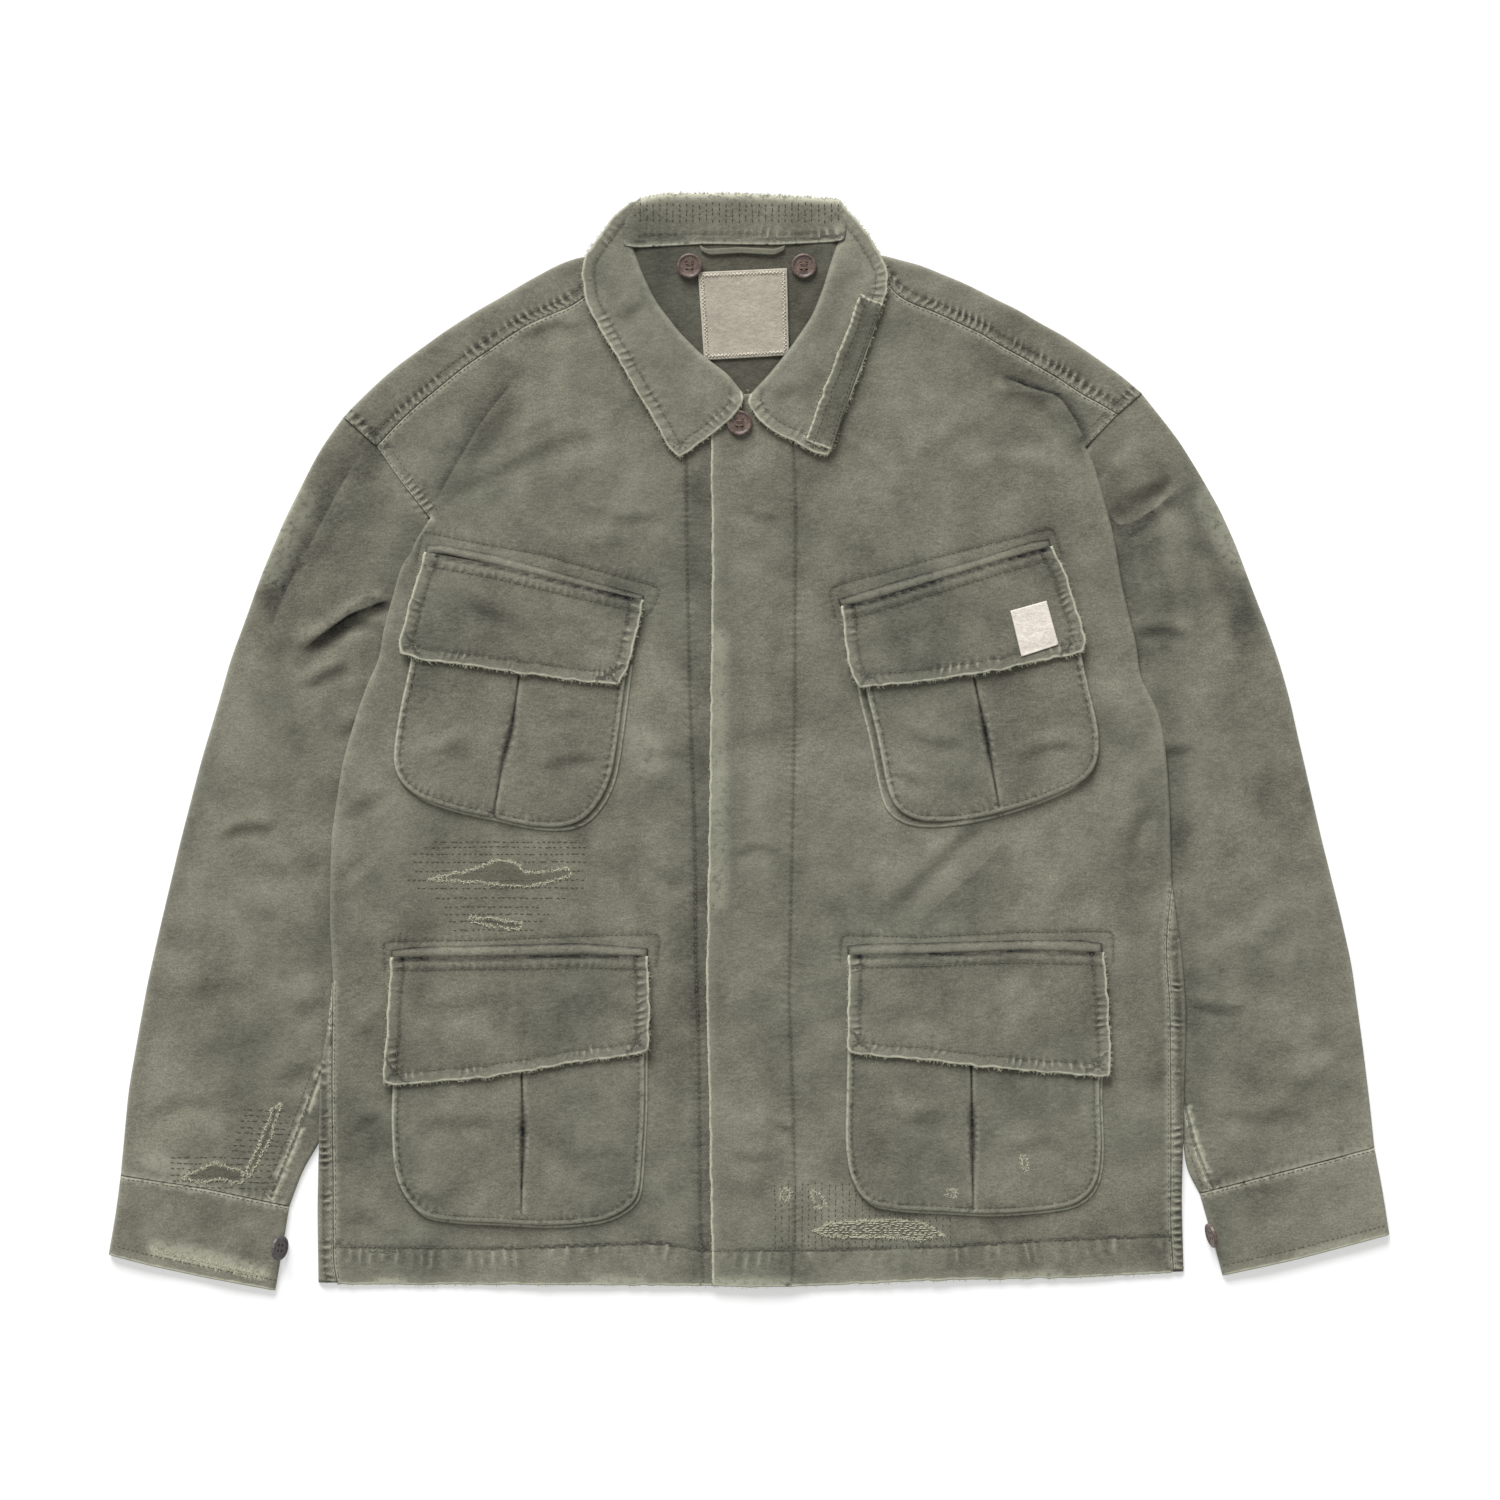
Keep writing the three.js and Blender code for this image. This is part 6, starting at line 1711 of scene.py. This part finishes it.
rows = [((left, y), (right, y)) for left, right, y in FRONT_DARNING]
stitches("darning_front", uneven_rows(rows, 1), front_right.drop, thread_dark, 2.6, 3.8, 0.45, 21, 0.16)
rip("rip_front", FRONT_RIP, front_right, inside_material, thread_pale, 22)
rip("rip_front_lower", FRONT_LOWER_RIP, front_right, inside_material, thread_pale, 23, 0.8)

(left, right), (high, low) = HEM_DARNING["x"], HEM_DARNING["y"]
rows = [((x, high), (x, low)) for x in np.linspace(left, right, HEM_DARNING["columns"])]
stitches("darning_hem", uneven_rows(rows, 2), front_left.drop, thread_dark, 1.6, 3.6, 0.55, 24, 0.2)
rip("rip_hem", HEM_RIP, front_left, inside_material, thread_pale, 25, -0.2)
rows = []
ring = Outline(closed_sides(HEM_RIP), step=1.6, reach=2).ring
for y in np.arange(1222, 1240, 2.2):
    across = resample(line([(808, y), (950, y)]), 1 * MM)
    within = across[inside(across, ring)]
    if len(within) > 4:
        rows.append(within)
stitches("weft_hem", rows, lambda points: front_left.drop(points) + 0.3 * MM, thread_pale, 2.6, 3.4, 0.8, 29, 0.25)
for k, spot in enumerate(HEM_SPOTS):
    outline = Outline(closed_sides(spot), step=1.4, reach=1.5)
    fringe(f"spot_{k}", outline.of("worn"), pocket_cloth["lower_left"]["body"].drop if k > 1 else front_left.drop,
           thread_pale, per_mm=2.6, reach=(1.0, 3.0), width=0.6, seed=30 + k, spread=1.6)

rows = []
for row in np.arange(*SLEEVE_DARNING["y"], SLEEVE_DARNING["pitch"]):
    rip_x = float(np.interp(row, *SLEEVE_DARNING["rip"]))
    left = rip_x - 34 if row < SLEEVE_DARNING["turn"] else SLEEVE_DARNING["x"][0]
    right = min(rip_x + 24, SLEEVE_DARNING["x"][1])
    rows.append(((left, row + SLEEVE_DARNING["slant"]), (right, row - SLEEVE_DARNING["slant"])))
stitches("darning_sleeve", uneven_rows(rows, 3), sleeve_cloth["right"].drop, thread_dark, 3.0, 4.2, 0.45, 26, 0.2)
for k, ring in enumerate(SLEEVE_RIPS):
    rip(f"rip_sleeve_{k}", ring, sleeve_cloth["right"], inside_material, thread_pale, 27 + k, 0.5)

(left, right), (high, low) = COLLAR_DARNING["x"], COLLAR_DARNING["y"]
rows = [((x, high), (x, low)) for x in np.linspace(left, right, COLLAR_DARNING["columns"])]
stitches("darning_collar", uneven_rows(rows, 4, 0.3), collar_back_cloth.drop, thread_dark, 2.4, 3.6, 0.6, 28, 0.14)


# Frayed edges


def outward(outline, *kinds):
    return [path[::-1] if outline.turn > 0 else path for path in outline.of(*kinds)]


for name, made in pocket_cloth.items():
    fringe(f"frays_flap_{name}", outward(made["flap"].outline, "worn"), made["flap"].drop, thread_light, seed=41)
for name, (_, cloth, _) in collar_leaves.items():
    fringe(f"frays_collar_{name}", outward(cloth.outline, "worn"), cloth.drop, thread_light,
           per_mm=0.9 if name == "left" else 0.6, seed=42)
fringe("frays_collar_back", [path_of(COLLAR_BAND["top"])], collar_back_cloth.drop, thread_light, per_mm=2.4,
       reach=(0.8, 2.2), seed=43, spread=1.6)
fringe("frays_placket", [path_of(PLACKET_EDGE), path_of(PLACKET_EDGE)[::-1]], front_left.drop, thread_light,
       per_mm=0.35, reach=(0.5, 1.4), seed=44)
fringe("frays_hem_right", outward(front_right.outline, "worn"), front_right.drop, thread_light, per_mm=0.3, seed=45)
fringe("frays_hem_left", outward(front_left.outline, "worn")[1:], front_left.drop, thread_light, per_mm=0.3,
       seed=46)
CUFF_WORN_EDGE = [(266, 1278), (230, 1269), (190, 1260), (151, 1252)]
fringe("frays_cuff", [path_of(CUFF_WORN_EDGE), path_of(CUFF_WORN_EDGE)[::-1]], cuff_cloth["right"].drop,
       thread_pale, per_mm=3.0, reach=(1.5, 5.5), width=0.5, seed=47, spread=0.6)
fringe("frays_tape", outward(collar_tape.outline, "worn"), collar_tape.drop, thread_light, per_mm=1.0, seed=48)
fringe("frays_neck", [path_of([(744, 391), (752, 391)])], front_right.drop, thread_light, per_mm=1.0, seed=49)


# Camera, light and floor

camera_data = bpy.data.cameras.new("camera")
camera_data.sensor_width = 36
camera_data.lens = camera_data.sensor_width * CAMERA_DISTANCE / PHOTO_WIDTH
camera = bpy.data.objects.new("camera", camera_data)
camera.location = (*at(750, 750), CAMERA_DISTANCE + 0.006)
bpy.context.scene.collection.objects.link(camera)
bpy.context.scene.camera = camera


def sun(name, towards, strength, softness):
    """Even light from far away, from the side that towards points to."""
    data = bpy.data.lights.new(name, "SUN")
    data.energy = strength
    data.angle = math.radians(softness)
    lamp = bpy.data.objects.new(name, data)
    lamp.rotation_euler = Vector(towards).to_track_quat("Z", "Y").to_euler()
    bpy.context.scene.collection.objects.link(lamp)
    return lamp


sun("key", (-0.28, 1.0, 0.6), KEY_LIGHT, KEY_SOFTNESS)

world = bpy.data.worlds.new("studio")
world.use_nodes = True
world.node_tree.nodes["Background"].inputs[0].default_value = (1, 1, 1, 1)
world.node_tree.nodes["Background"].inputs[1].default_value = SKY_LIGHT
bpy.context.scene.world = world
bpy.context.scene.view_settings.view_transform = "Standard"

g = Graph("floor")
floor_material = g.finish({
    "Base Color": (0.7, 0.7, 0.7, 1), "Roughness": 1.0, "Specular IOR Level": 0.0,
    "Emission Color": (1, 1, 1, 1), "Emission Strength": FLOOR_GLOW,
})
bpy.ops.mesh.primitive_plane_add(size=8)
floor = bpy.context.object
floor.name = "floor"
floor.location.z = -0.0002
floor.data.materials.append(floor_material)
